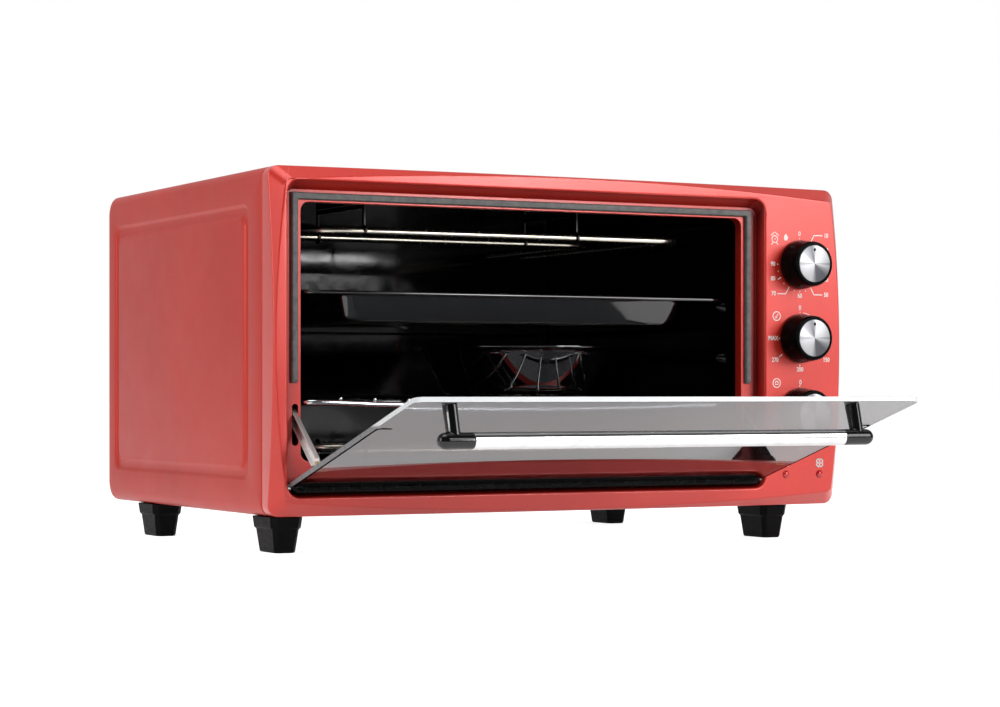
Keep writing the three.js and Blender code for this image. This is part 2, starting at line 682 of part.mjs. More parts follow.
function backPanel() {
  const { sheet, back } = BODY;
  const left = SIDE.pan + SEAT;
  const right = BODY.width - left;
  const bottom = BACK.hem + SEAT;
  const top = BODY.height - bottom;
  const rim = back - sheet - SEAT;
  const slots = [];
  const rows = [(bottom + top) / 2 - BACK.louvreHeight - BACK.lap, (bottom + top) / 2 + BACK.lap];
  for (const row of rows) {
    for (let index = 0; index < BACK.louvreCount; index += 1) {
      const x = MIRROR_X + (index - (BACK.louvreCount - 1) / 2) * BACK.louvrePitch;
      slots.push(slotOutline(x, row, row + BACK.louvreHeight, BACK.louvreWidth / 2, 2));
    }
  }
  const face = prism(
    box2(left, bottom, right, top), 'y', back - sheet, back, [...slots, circle(SUPPLY_X, GLAND.z, GLAND.hole, 20)],
  );
  const opening = box2(left + BACK.lap, bottom + BACK.lap, right - BACK.lap, top - BACK.lap);
  const lap = prism(
    box2(left - BACK.lap, bottom - BACK.lap, right + BACK.lap, top + BACK.lap), 'y', rim - sheet, rim, [opening],
  );
  const step = prism(
    box2(left + sheet, bottom + sheet, right - sheet, top - sheet), 'y', rim - sheet, back - sheet / 2, [opening],
  );
  return join(face, lap, step);
}

// Feet

function foot(x, y) {
  const { width, length, plateHeight, step, chamfer, taper, height } = FOOT;
  const ring = (z, shrink, cornerCut) => {
    const left = x + shrink;
    const right = x + width - shrink;
    const front = y + shrink;
    const rear = y + length - shrink;
    return [
      [left + cornerCut, front], [right - cornerCut, front], [right, front + cornerCut], [right, rear - cornerCut],
      [right - cornerCut, rear], [left + cornerCut, rear], [left, rear - cornerCut], [left, front + cornerCut],
    ].map(([u, v]) => new THREE.Vector3(u, v, z));
  };
  const body = loft([
    ring(-SEAT, 0, chamfer),
    ring(-plateHeight + step / 2, taper / 2, chamfer),
    ring(-plateHeight, step, chamfer - step / 2),
    ring(-height + step / 2, step + taper, chamfer - step / 2),
    ring(-height, step + taper + step / 4, chamfer - step / 2),
  ]);
  const cup = prism(
    circle(x + width / 2, y + length / 2, FOOT.cupRadius, 12), 'z', -height - step, -height + FOOT.cupDepth,
  );
  return cut(body, cup);
}

// Cavity with three pressed runners on each side wall

const LOWEST_RUNNER = CAVITY_BOX.bottom + LOWEST_RUNNER_SHARE * (CAVITY_BOX.top - CAVITY_BOX.bottom);
const RUNNER_TOPS = Array.from({ length: RUNNER.count }, (_, index) => LOWEST_RUNNER + index * RUNNER.pitch);

function cavityRing(y, box, corner, grow, runnerShare) {
  const reach = RUNNER.reach * runnerShare;
  const left = box.left - grow;
  const right = box.right + grow;
  const bottom = box.bottom - grow;
  const top = box.top + grow;
  const ring = roundedBox(left, bottom, right, top, corner + grow, 4);
  const quarter = ring.length / 4;
  const runnerPoints = RUNNER_TOPS.flatMap((height) => RUNNER_OUTLINE_SHARES.map(([out, up]) => {
    const flatten = grow * (1 - 2 * Math.abs(up - 0.5));
    const lift = height - RUNNER.height * (1 - up);
    return [out * reach, lift - Math.sign(up - 0.5) * (grow - flatten) * (runnerShare > 0 ? 1 : 0)];
  }));
  const rightWall = runnerPoints.map(([out, z]) => [right - out, z]);
  const leftWall = [...runnerPoints].reverse().map(([out, z]) => [left + out, z]);
  return [
    ...ring.slice(0, 2 * quarter), ...rightWall, ...ring.slice(2 * quarter), ...leftWall,
  ].map(([x, z]) => new THREE.Vector3(x, y, z));
}

const CAVITY_FRONT = MOUTH.back + SEAT;

function ovenCavity() {
  const rows = [
    [CAVITY_FRONT, MOUTH, MOUTH.corner, 0],
    [CAVITY_FRONT + CAVITY.flare, CAVITY_BOX, CAVITY.corner, 0],
    [RUNNER_START + RUNNER.ramp, CAVITY_BOX, CAVITY.corner, 1],
    [RUNNER_END - RUNNER.ramp, CAVITY_BOX, CAVITY.corner, 1],
    [RUNNER_END, CAVITY_BOX, CAVITY.corner, 0],
    [CAVITY_BACK, CAVITY_BOX, CAVITY.corner, 0],
  ];
  const inner = rows.map(([y, box, corner, share]) => cavityRing(y, box, corner, 0, share));
  const outer = rows.map(([y, box, corner, share], index) => {
    const last = index === rows.length - 1;
    return cavityRing(last ? y + CAVITY.sheet : y, box, corner, CAVITY.sheet, share);
  });
  const shell = cut(loft(outer), loft(inner));
  const tails = [ROD_UPPER_Z, ROD_LOWER_Z].flatMap((z) => [ROD_RIGHT, ROD_SECOND_RIGHT].map(
    (x) => prism(circle(x, z, ROD.hole, 12), 'y', CAVITY_BACK - CAVITY.sheet, CAVITY_BACK + 2 * CAVITY.sheet),
  ));
  const half = CAVITY.sheet / 2;
  const leftEar = springEar(CAVITY_BOX.left - half);
  const rightEar = mirrored(springEar(2 * MIRROR_X - CAVITY_BOX.right - half));
  return cut(join(shell, leftEar, rightEar), ...tails);
}

// An ear that stands on the outside of the cavity wall and takes the far hook of the spring
function springEar(right) {
  const { thickness, half, hole, beyond } = EAR;
  return prism(
    [
      [SLOT.left, EAR_Z - half], [right, EAR_Z - half - beyond],
      [right, EAR_Z + half + beyond], [SLOT.left, EAR_Z + half],
    ],
    'y', EAR_Y - thickness / 2, EAR_Y + thickness / 2, [circle(SPRING_X, EAR_Z, hole, 10)],
  );
}

// Heating rods: one long hairpin each, both tails leaving through the back wall

function heatingRod(z) {
  const tail = CAVITY_BACK + ROD.tail;
  const middle = ROD.legs / 2;
  const corners = [
    [ROD_RIGHT, tail], [ROD_RIGHT, ROD_FRONT], [ROD_LEFT, ROD_FRONT],
  ].map(([x, y]) => new THREE.Vector3(x, y, z));
  const first = roundedPath(corners, ROD.bend, 5);
  const turn = [];
  for (let step = 1; step < STEPS.loopTurn; step += 1) {
    const angle = QUARTER_TURN + (step / STEPS.loopTurn) * HALF_TURN;
    turn.push(new THREE.Vector3(
      ROD_LEFT + middle * Math.cos(angle), ROD_FRONT + middle - middle * Math.sin(angle), z,
    ));
  }
  const secondCorners = [
    [ROD_LEFT, ROD_SECOND], [ROD_SECOND_RIGHT, ROD_SECOND], [ROD_SECOND_RIGHT, tail],
  ].map(([x, y]) => new THREE.Vector3(x, y, z));
  return bar([...first, ...turn, ...roundedPath(secondCorners, ROD.bend, 5)], ROD.radius, ROD.sides);
}

// A thin clip rings both legs of a rod and reaches the cavity wall by a narrow tab over each leg
function rodHolder(x, z, wall) {
  const up = Math.sign(wall - z);
  const seat = wall - up * SEAT;
  const bend = seat - up * HOLDER.strip;
  const half = HOLDER.strip / 2;
  const plate = (outline) => prism(outline, 'x', x, x + HOLDER.sheet);
  const eye = (y) => plate(circle(y, z, ROD.radius + SEAT + HOLDER.grip, 10));
  const bore = (y) => prism(
    circle(y, z, ROD.radius + SEAT, ROD.sides), 'x', x - HOLDER.sheet, x + 2 * HOLDER.sheet,
  );
  const near = ROD_FRONT - half;
  const far = ROD_SECOND + half;
  const tabs = plate([
    [near, z], [near, seat], [far, seat], [far, z],
    [ROD_SECOND - half, z], [ROD_SECOND - half, bend], [ROD_FRONT + half, bend], [ROD_FRONT + half, z],
  ]);
  return cut(join(tabs, eye(ROD_FRONT), eye(ROD_SECOND)), bore(ROD_FRONT), bore(ROD_SECOND));
}

// Insulation, partition and the pieces behind the control panel

function insulationBlanket() {
  const { thickness } = BLANKET;
  const gap = CAVITY.sheet + SEAT;
  const bottom = CAVITY_BOX.bottom + BLANKET.bottomRise;
  const left = CAVITY_BOX.left - gap;
  const right = CAVITY_BOX.right + gap;
  const top = CAVITY_BOX.top + gap;
  const outline = [
    [left - thickness, bottom], [left, bottom], [left, top], [right, top], [right, bottom],
    [right + thickness, bottom], [right + thickness, top + thickness], [left - thickness, top + thickness],
  ];
  return prism(outline, 'y', EAR_Y + BLANKET.behindEar, CAVITY_BACK - BLANKET.rearGap);
}

function heatPartition() {
  const { sheet, hem } = PARTITION;
  const x = RECESS.right + PARTITION.fromRecess;
  const bottom = BODY.sheet + SEAT;
  const top = BODY.height - BODY.sheet - SEAT;
  const outline = [
    [x, bottom], [x + hem, bottom], [x + hem, bottom + sheet], [x + sheet, bottom + sheet],
    [x + sheet, top - sheet], [x + hem, top - sheet], [x + hem, top], [x, top],
  ];
  return prism(outline, 'y', MOUTH.back + PARTITION.frontGap, BODY.back - PARTITION.rearInset);
}

function controlCarrier() {
  const { front, sheet, hole } = CARRIER;
  const left = PANEL_X - CARRIER.left;
  const right = PANEL_X + CARRIER.right;
  const bottom = Math.min(...KNOB_HEIGHTS) - CARRIER.below;
  const top = Math.max(...KNOB_HEIGHTS) + CARRIER.above;
  const start = FRAME.wall + SEAT;
  const outline = [
    [left, start], [left + sheet, start], [left + sheet, front], [right - sheet, front],
    [right - sheet, start], [right, start], [right, front + sheet], [left, front + sheet],
  ];
  const plate = prism(outline, 'z', bottom, top);
  const holes = KNOB_HEIGHTS.map(
    (height) => prism(circle(PANEL_X, height, hole, 16), 'y', front - sheet, front + 2 * sheet),
  );
  return cut(plate, ...holes);
}

// A control unit behind the carrier: case, front bush and connection tabs
function controlUnit(height, tabs, deeper) {
  const { width, depth, corner, bushRadius, bushReach, tabWidth, tabDepth } = UNIT;
  const start = CARRIER.front + CARRIER.sheet + SEAT;
  const end = start + depth + deeper;
  const bite = corner / 2;
  const body = prism(
    roundedBox(
      PANEL_X - width / 2, height - UNIT.height / 2, PANEL_X + width / 2, height + UNIT.height / 2, corner, 3,
    ), 'y', start, end,
  );
  const bush = prism(circle(PANEL_X, height, bushRadius, 16), 'y', start - bushReach, start + bite);
  const shaftBore = prism(
    circle(PANEL_X, height, SHAFT.bore, 16), 'y', start - bushReach - bite, start + SHAFT.inUnit + SEAT,
  );
  const blades = [];
  for (let index = 0; index < tabs; index += 1) {
    const x = PANEL_X + (index - (tabs - 1) / 2) * (tabWidth + corner);
    blades.push(prism(
      box2(x - tabWidth / 2, height - RUN, x + tabWidth / 2, height + RUN), 'y', end - bite, end + tabDepth,
    ));
  }
  return cut(join(body, bush, ...blades), shaftBore);
}

function knobShaft(height) {
  const unitFront = CARRIER.front + CARRIER.sheet + SEAT;
  const inner = unitFront + SHAFT.inUnit - SEAT;
  const outer = -KNOB.gap - SHAFT.depthInKnob + SEAT;
  return turned(
    [[0, outer], [SHAFT.radius - SEAT, outer], [SHAFT.radius, outer + SEAT], [SHAFT.radius, inner], [0, inner]],
    'y', new THREE.Vector3(PANEL_X, 0, height), 14,
  );
}

// Knob: a smooth, slightly tapered cap with a rounded front edge and a shallow seat for its metal disc
function knob(height) {
  const { baseRadius, tipRadius, faceRadius, crown, facets, discRadius, discDepth, edge, gap } = KNOB;
  const base = -gap;
  const tip = -gap - KNOB.height;
  const profile = [[0, base], [baseRadius - edge, base], [baseRadius, base - edge], [tipRadius, tip + crown]];
  const steps = 3;
  for (let step = 1; step <= steps; step += 1) {
    const angle = (step / steps) * QUARTER_TURN;
    const radius = faceRadius + (tipRadius - faceRadius) * Math.cos(angle);
    profile.push([radius, tip + crown * (1 - Math.sin(angle))]);
  }
  profile.push([0, tip]);
  const body = turned(profile, 'y', new THREE.Vector3(PANEL_X, 0, height), facets);
  const seat = prism(circle(PANEL_X, height, discRadius + SEAT, facets), 'y', tip - edge, tip + discDepth + SEAT);
  const bore = prism(
    circle(PANEL_X, height, SHAFT.bore, 14), 'y', base - SHAFT.depthInKnob, base + edge,
  );
  return cut(body, seat, bore);
}

// The disc has a small sight hole near its edge as the pointer
function knobDisc(height) {
  const tip = -KNOB.gap - KNOB.height;
  const back = tip + KNOB.discDepth;
  const { discRadius, edge, dotOut, dotRadius, facets } = KNOB;
  const disc = turned(
    [[0, tip], [discRadius - edge / 2, tip], [discRadius, tip + edge / 2], [discRadius, back], [0, back]],
    'y', new THREE.Vector3(PANEL_X, 0, height), facets,
  );
  return cut(disc, prism(circle(PANEL_X, height + dotOut, dotRadius, 8), 'y', tip - edge, back + edge));
}

function lamp(x) {
  const { radius, domeHeight, collar, collarDepth, barrel, barrelLength } = LAMP;
  const seat = FRAME.wall + SEAT;
  const dome = DOME_SHARES.map(([out, rise]) => [out * radius, -rise * domeHeight]);
  return turned([
    ...dome, [radius, seat], [collar, seat],
    [collar, seat + collarDepth], [barrel, seat + collarDepth],
    [barrel, seat + barrelLength], [0, seat + barrelLength],
  ], 'y', new THREE.Vector3(x, 0, PANEL.lampZ), 16);
}

// Door: glass, bottom rail, pins, handle

const DOOR_LEFT = RECESS.left + GLASS.gap;
const DOOR_RIGHT = RECESS.right - GLASS.gap;
const GLASS_BOTTOM = HINGE.z - GLASS.bottomSeat;
const GLASS_BACK = GLASS.front + GLASS.thickness;
const HANDLE_HEIGHT = GLASS.top - HANDLE.below;
const HANDLE_Y = GLASS.front - HANDLE.offset;

// The lower corners of the pane are notched so that the rail is solid round its pins
const NOTCH_TOP = HINGE.z + HINGE.pinRadius + 2 * SEAT + RAIL.pinWall;

function doorGlass() {
  const outline = roundedBox(DOOR_LEFT, GLASS_BOTTOM, DOOR_RIGHT, GLASS.top, GLASS.corner, 3);
  const stems = [LEFT_STEM, RIGHT_STEM];
  const pane = prism(
    outline, 'y', GLASS.front, GLASS_BACK,
    stems.map((x) => circle(x, HANDLE_HEIGHT, HANDLE.screwRadius + SEAT, 12)),
  );
  const sinks = stems.map((x) => prism(
    circle(x, HANDLE_HEIGHT, HANDLE.headRadius + SEAT, 16), 'y',
    GLASS_BACK - HANDLE.headDepth - SEAT, GLASS_BACK + GLASS.thickness,
  ));
  const notch = prism(
    box2(DOOR_LEFT - RAIL.over, GLASS_BOTTOM - RAIL.over, DOOR_LEFT + GLASS.notch, NOTCH_TOP),
    'y', GLASS.front - RAIL.over, GLASS_BACK + RAIL.over,
  );
  return cut(pane, ...sinks, notch, mirrored(notch));
}

const RAIL_LEFT = DOOR_LEFT + RAIL.gap;
const RAIL_RIGHT = DOOR_RIGHT - RAIL.gap;

// Half round below, squared above, tapered at both ends to turn inside the rounded recess
function doorBottomRail() {
  const { radius, endRadius, endTaper, lipChamfer, over } = RAIL;
  const { y, z, pinRadius, pinSeat } = HINGE;
  const under = [];
  for (let step = 0; step <= STEPS.railUnder; step += 1) {
    const angle = HALF_TURN + (step / STEPS.railUnder) * HALF_TURN;
    under.push([y + radius * Math.cos(angle), z + radius * Math.sin(angle)]);
  }
  const top = z + radius;
  const outline = [...under, [y + radius, top - lipChamfer], [y + radius - lipChamfer, top],
    [y - radius + lipChamfer, top], [y - radius, top - lipChamfer]];
  const body = prism(outline, 'x', RAIL_LEFT, RAIL_RIGHT);
  const wide = 2 * radius;
  const taper = (wide - endRadius) / endTaper;
  const turn = turned([
    [0, RAIL_LEFT], [endRadius, RAIL_LEFT], [wide, RAIL_LEFT + taper],
    [wide, RAIL_RIGHT - taper], [endRadius, RAIL_RIGHT], [0, RAIL_RIGHT],
  ], 'x', new THREE.Vector3(0, y, z), 24);
  const seat = (from, to, floor) => prism(
    box2(GLASS.front - SEAT, floor - SEAT, GLASS_BACK + SEAT, top + over), 'x', from, to,
  );
  const notchEnd = GLASS.notch - SEAT;
  const groove = seat(DOOR_LEFT + notchEnd, DOOR_RIGHT - notchEnd, GLASS_BOTTOM);
  const endGroove = seat(DOOR_LEFT, DOOR_LEFT + GLASS.notch, NOTCH_TOP);
  const pinBore = prism(circle(y, z, pinRadius + SEAT, 12), 'x', RAIL_LEFT - over, RAIL_LEFT + pinSeat + SEAT);
  return cut(body.intersect(turn), groove, endGroove, mirrored(endGroove), pinBore, mirrored(pinBore));
}

function hingePin() {
  const left = RECESS.left + LIP.rollInset - HINGE.pinReach;
  const right = RAIL_LEFT + HINGE.pinSeat;
  return prism(circle(HINGE.y, HINGE.z, HINGE.pinRadius, 12), 'x', left, right);
}

function handleMount(stemX, side) {
  const { barRadius, barWall, ballReach, innerReach, stemWidth, stemHeight, spigot } = HANDLE;
  const y = HANDLE_Y;
  const z = HANDLE_HEIGHT;
  const steps = 5;
  const profile = [[0, stemX - side * ballReach]];
  const ballCentre = stemX - side * (ballReach - barRadius);
  for (let step = 1; step <= steps; step += 1) {
    const angle = (step / steps) * QUARTER_TURN;
    profile.push([barRadius * Math.sin(angle), ballCentre - side * barRadius * Math.cos(angle)]);
  }
  const inner = stemX + side * innerReach;
  const bore = barRadius - barWall - SEAT;
  profile.push([barRadius, inner], [bore, inner], [bore, inner + side * spigot], [0, inner + side * spigot]);
  const head = turned(profile, 'x', new THREE.Vector3(0, y, z), 16);
  const stemRing = (at, wide, tall) => {
    const ring = [];
    for (let step = 0; step < 16; step += 1) {
      const angle = (step / 16) * FULL_TURN;
      ring.push(new THREE.Vector3(
        stemX + (wide / 2) * Math.cos(angle), at, z + (tall / 2) * Math.sin(angle),
      ));
    }
    return ring;
  };
  const glassSide = GLASS.front - SEAT;
  const stem = loft([
    stemRing(y, stemWidth - RUN, stemHeight - 2 * barWall), stemRing(glassSide - barWall, stemWidth, stemHeight),
    stemRing(glassSide, stemWidth, stemHeight),
  ]);
  const screwBore = prism(
    circle(stemX, z, HANDLE.screwRadius + SEAT, 12), 'y',
    GLASS_BACK - HANDLE.screwLength - SEAT, glassSide + barWall,
  );
  return cut(join(head, stem), screwBore);
}

function handleBar() {
  const from = LEFT_STEM + HANDLE.innerReach + SEAT;
  const to = RIGHT_STEM - HANDLE.innerReach - SEAT;
  return prism(
    circle(HANDLE_Y, HANDLE_HEIGHT, HANDLE.barRadius, 20), 'x', from, to,
    [circle(HANDLE_Y, HANDLE_HEIGHT, HANDLE.barRadius - HANDLE.barWall, 12)],
  );
}

function handleScrew(stemX) {
  const back = GLASS_BACK;
  const headFront = back - HANDLE.headDepth;
  const tip = back - HANDLE.screwLength;
  return turned([
    [0, tip], [HANDLE.screwRadius, tip], [HANDLE.screwRadius, headFront], [HANDLE.headRadius, headFront],
    [HANDLE.headRadius, back - SEAT], [0, back - SEAT],
  ], 'y', new THREE.Vector3(stemX, 0, HANDLE_HEIGHT), 14);
}

// Hinge arm, its bracket on the door and the spring behind the frame

const PIVOT = { y: HINGE.y + ARM.inward, z: HINGE.z + ARM.up };
const ARM_LEFT = SLOT.left + (SLOT.right - SLOT.left - ARM.width) / 2;
const ARM_RIGHT = ARM_LEFT + ARM.width;
const WEB_LEFT = ARM_RIGHT - ARM.sheet;
const SPRING_X = WEB_LEFT - SEAT - SPRING.wire;
const EAR_Y = PIVOT.y + ARM.length * Math.cos(ARM.closedDegrees * DEGREES) + EAR.behindTail;
const EAR_Z = HINGE.z + EAR.rise;

function armAngle(openDegrees) {
  return ARM.closedDegrees + ARM.perOpenDegree * openDegrees;
}

// Where the arm's pivot stands when the door is open by so many degrees
function pivotPlace(openDegrees) {
  const turn = openDegrees * DEGREES;
  const y = HINGE.y - ARM.up * Math.sin(turn) + ARM.inward * Math.cos(turn);
  const z = HINGE.z + ARM.up * Math.cos(turn) + ARM.inward * Math.sin(turn);
  return new THREE.Vector3(0, y, z);
}

function hingeBracket() {
  const strip = GLASS_BACK + SEAT;
  const lugRight = WEB_LEFT - SEAT;
  const lugLeft = lugRight - BRACKET.lugWidth;
  const centre = (lugLeft + lugRight) / 2;
  const base = prism(
    box2(
      centre - BRACKET.width / 2, HINGE.z + BRACKET.bottomRise, centre + BRACKET.width / 2, HINGE.z + BRACKET.topRise,
    ),
    'y', strip, strip + BRACKET.strip,
  );
  const radius = BRACKET.lugRadius;
  const nose = [];
  for (let step = 0; step <= 6; step += 1) {
    const angle = QUARTER_TURN - (step / 6) * HALF_TURN;
    nose.push([PIVOT.y + radius * Math.cos(angle), PIVOT.z + radius * Math.sin(angle)]);
  }
  const lug = prism(
    [[strip + SEAT, PIVOT.z + radius], ...nose, [strip + SEAT, PIVOT.z - radius]], 'x', lugLeft, lugRight,
  );
  const hole = prism(
    circle(PIVOT.y, PIVOT.z, ARM.pivotRadius + SEAT, 10), 'x', lugLeft - BRACKET.strip, lugRight + BRACKET.strip,
  );
  return cut(join(base, lug), hole);
}

// Made lying along +Y from the pivot at the origin, then turned and carried to the pivot
function armInPlace(solid, openDegrees) {
  const { y, z } = pivotPlace(openDegrees);
  return solid.rotate([armAngle(openDegrees), 0, 0]).translate([0, y, z]);
}

// A channel open to the outside of the door, its web round the pivot pin
function hingeArm() {
  const { length, half, sheet, endRadius, pivotRadius, flangeStart, holeRadius, tipInset } = ARM;
  const end = [];
  for (let step = 0; step <= 8; step += 1) {
    const angle = QUARTER_TURN + (step / 8) * HALF_TURN;
    end.push([endRadius * Math.cos(angle), endRadius * Math.sin(angle)]);
  }
  const web = prism(
    [...end, [flangeStart, -half], [length, -half], [length, half], [flangeStart, half]],
    'x', WEB_LEFT, ARM_RIGHT, [circle(length - tipInset, 0, holeRadius, 10)],
  );
  const middle = WEB_LEFT + sheet / 2;
  const upper = prism(box2(flangeStart, half - sheet, length, half), 'x', ARM_LEFT, middle);
  const lower = prism(box2(flangeStart, -half, length, sheet - half), 'x', ARM_LEFT, middle);
  const pivot = prism(circle(0, 0, pivotRadius, 10), 'x', ARM_LEFT + SEAT, middle);
  return join(web, upper, lower, pivot);
}

// One unbroken wire: a short hook, the coil, and a long straight lead to the ear
function springPath(start, finish) {
  const { radius, turns, pitch, stepsPerTurn, lead } = SPRING;
  const direction = new THREE.Vector3().subVectors(finish, start).normalize();
  const across = new THREE.Vector3(1, 0, 0);
  const up = new THREE.Vector3().crossVectors(across, direction);
  const path = [start.clone()];
  const total = turns * stepsPerTurn;
  const easing = stepsPerTurn / 2;
  for (let step = 0; step <= total; step += 1) {
    const angle = (step / stepsPerTurn) * FULL_TURN;
    const grow = Math.min(1, step / easing, (total - step) / easing);
    path.push(start.clone()
      .addScaledVector(direction, lead + (step / stepsPerTurn) * pitch)
      .addScaledVector(across, radius * grow * Math.cos(angle))
      .addScaledVector(up, radius * grow * Math.sin(angle)));
  }
  path.push(finish.clone());
  return path;
}

// The least distance between two turns of the wire, measured surface to surface on its path points
function leastSelfGap(path) {
  const apart = SPRING.stepsPerTurn / 2;
  let least = Infinity;
  for (let first = 0; first < path.length; first += 1) {
    for (let second = first + apart + 1; second < path.length; second += 1) {
      least = Math.min(least, path[first].distanceTo(path[second]) - 2 * SPRING.wire);
    }
  }
  return least;
}

function hingeSpring() {
  const angle = armAngle(HINGE.openDegrees) * DEGREES;
  const along = new THREE.Vector3(0, Math.cos(angle), Math.sin(angle));
  const start = pivotPlace(HINGE.openDegrees).setX(SPRING_X).addScaledVector(along, ARM.length - SPRING.hooked);
  const finish = new THREE.Vector3(SPRING_X, EAR_Y + EAR.thickness + SPRING.lead, EAR_Z);
  finish.setZ(EAR_Z + (EAR_Z - start.z) * ((finish.y - EAR_Y) / (EAR_Y - start.y)));
  const path = springPath(start, finish);
  console.log('least gap between turns of the hinge spring', leastSelfGap(path).toFixed(3), 'mm');
  return bar(path, SPRING.wire, SPRING.sides);
}

// Rack, tray and pan

const RACK_Z = RUNNER_TOPS[0] + SEAT + RACK.frameWire;
const RACK_FRONT = MOUTH.back + RACK.frontGap;
const RACK_REAR = RUNNER_END - RACK.rearGap;

// The front rail of the rack dips slightly between its corners
function rackDip(x) {
  const share = (x - MOUTH.left) / (MOUTH.right - MOUTH.left);
  return -RACK.bow * Math.sin(share * HALF_TURN);
}

function wireRack() {
  const left = MOUTH.left + RACK.side + RACK.frameWire;
  const right = MOUTH.right - RACK.side - RACK.frameWire;
  const loop = roundedPath([
    [left, RACK_FRONT], [right, RACK_FRONT], [right, RACK_REAR], [left, RACK_REAR],
  ].map(([x, y]) => new THREE.Vector3(x, y, RACK_Z)), RACK.corner, 4, true);
  const path = [];
  loop.forEach((point, index) => {
    path.push(point);
    const next = loop[(index + 1) % loop.length];
    if (Math.max(point.y, next.y) > RACK_FRONT + SEAT) return;
    for (let step = 1; step < STEPS.dip; step += 1) {
      const between = point.clone().lerp(next, step / STEPS.dip);
      path.push(between.setZ(RACK_Z + rackDip(between.x)));
    }
  });
  const frame = bar(path, RACK.frameWire, 8, true);
  const level = RACK_Z + RACK.frameWire + RACK.crossWire - RACK.bite;
  const pitch = (right - left - 2 * RACK.endGap) / (RACK.wires - 1);
  const wires = [];
  for (let index = 0; index < RACK.wires; index += 1) {
    const x = left + RACK.endGap + index * pitch;
    const low = level + rackDip(x);
    wires.push(bar([
      [RACK_FRONT - RACK.crossWire, low], [RACK_FRONT + RACK.frameWire, low],
      [RACK_FRONT + 2 * RACK.corner, level], [RACK_REAR + RACK.crossWire, level],
    ].map(([y, z]) => new THREE.Vector3(x, y, z)), RACK.crossWire, 6));
  }
  return join(frame, ...wires);
}

// A deep pressed tray: a beaded rim, wide where it rests on the runners, and steep walls with a rounded foot
function bakingTray() {
  const { side, sheet, bead, rim, sideRim, depth, corner, wallCorner, taper, foot: footRadius } = TRAY;
  const seat = RUNNER_TOPS[RUNNER.count - 1] + SEAT;
  const top = seat + 2 * bead;
  const bottom = top - depth;
  const middle = seat + bead;
  const outer = {
    left: MOUTH.left + side, right: MOUTH.right - side,
    bottom: MOUTH.back + TRAY.frontGap, top: RUNNER_END - TRAY.rearGap,
  };
  const ring = (across, along, radius, z) => {
    const { left, right, bottom: front, top: rear } = inset(outer, across, along);
    return roundedBox(left, front, right, rear, radius, 4).map(([x, y]) => new THREE.Vector3(x, y, z));
  };
  const edge = (shrink, z) => ring(shrink, shrink, corner - shrink, z);
  const wall = (shrink, z) => ring(sideRim + shrink, rim + shrink, wallCorner, z);
  return loft([
    wall(taper + footRadius, bottom), wall(taper, bottom + footRadius / 2), wall(0, middle - sheet / 2),
    edge(2 * bead, middle - sheet / 2), edge(bead, seat), edge(0, middle), edge(bead, top),
    edge(2 * bead, middle + sheet / 2), wall(sheet, middle + sheet / 2),
    wall(taper + sheet, bottom + footRadius / 2 + sheet), wall(taper + footRadius + sheet, bottom + sheet),
  ]);
}

function roundPan() {
  const { rim, bead, body, base, depth, sheet, foot: footRadius, facets } = PAN;
  const bottom = RACK_Z + RACK.frameWire + 2 * RACK.crossWire - RACK.bite + SEAT;
  const top = bottom + depth;
  const slope = (body - base) / (depth - bead);
  const outside = [[0, bottom], [base - footRadius / 2, bottom]];
  const inside = [];
  for (let step = 1; step <= 3; step += 1) {
    const share = step / 3;
    const out = base - footRadius / 2 + footRadius * Math.sin(share * QUARTER_TURN) * PAN_FOOT_SHARES.out;
    const up = bottom + footRadius * (1 - Math.cos(share * QUARTER_TURN)) * PAN_FOOT_SHARES.up;
    outside.push([out, up]);
    inside.push([out - sheet * Math.sin(share * QUARTER_TURN), up + sheet * Math.cos(share * QUARTER_TURN)]);
  }
  outside.push([body - slope, top - 2 * bead - sheet], [rim - 2 * bead, top - bead - sheet / 2]);
  outside.push([rim - bead, top - 2 * bead], [rim, top - bead], [rim - bead, top]);
  outside.push([rim - 2 * bead, top - bead + sheet / 2], [body - slope - sheet, top - bead]);
  const floor = [[base - footRadius / 2, bottom + sheet], [0, bottom + sheet]];
  const centre = new THREE.Vector3((MOUTH.left + MOUTH.right) / 2 + PAN.fromMiddle, MOUTH.back + PAN.fromMouth, 0);
  return turned([...outside, ...inside.reverse(), ...floor], 'z', centre, facets);
}

// Cord inlet and terminal block; the cord itself is left out

function cordGland() {
  const { z, body, collar, collarDepth, bore, reach } = GLAND;
  const back = BODY.back + SEAT;
  return turned([
    [bore, back + collarDepth], [collar - bore / 2, back + collarDepth], [collar, back + collarDepth / 2],
    [collar, back], [body, back], [body, back - reach], [bore, back - reach],
  ], 'y', new THREE.Vector3(SUPPLY_X, 0, z), 20);
}

function terminalBlock() {
  const { width, length, height, ways, wayRadius, wayDepth } = TERMINAL;
  const x = SUPPLY_X;
  const y = BODY.back - TERMINAL.rearInset;
  const bottom = BODY.sheet + SEAT;
  const block = prism(
    roundedBox(x - width / 2, y - length / 2, x + width / 2, y + length / 2, wayRadius / 2, 2),
    'z', bottom, bottom + height,
  );
  const screws = [];
  for (let index = 0; index < ways; index += 1) {
    const at = x + (index - (ways - 1) / 2) * (width / ways);
    screws.push(prism(
      circle(at, y, wayRadius, 10), 'z', bottom + height - wayDepth, bottom + height + wayDepth,
    ));
  }
  return cut(block, ...screws);
}

// Assembly

piece('front_frame', frontFrame(), FINISH.redEnamel);
piece('door_gasket', doorGasket(), FINISH.rubber);
piece('side_panel_left', sidePanel(), FINISH.sideEnamel);
piece('side_panel_right', mirrored(sidePanel(), BODY.width / 2), FINISH.sideEnamel);
piece('top_panel', topPanel(), FINISH.sideEnamel);
piece('bottom_panel', bottomPanel(), FINISH.steel);
piece('back_panel', backPanel(), FINISH.sideEnamel);
piece('oven_cavity', ovenCavity(), FINISH.blackEnamel);

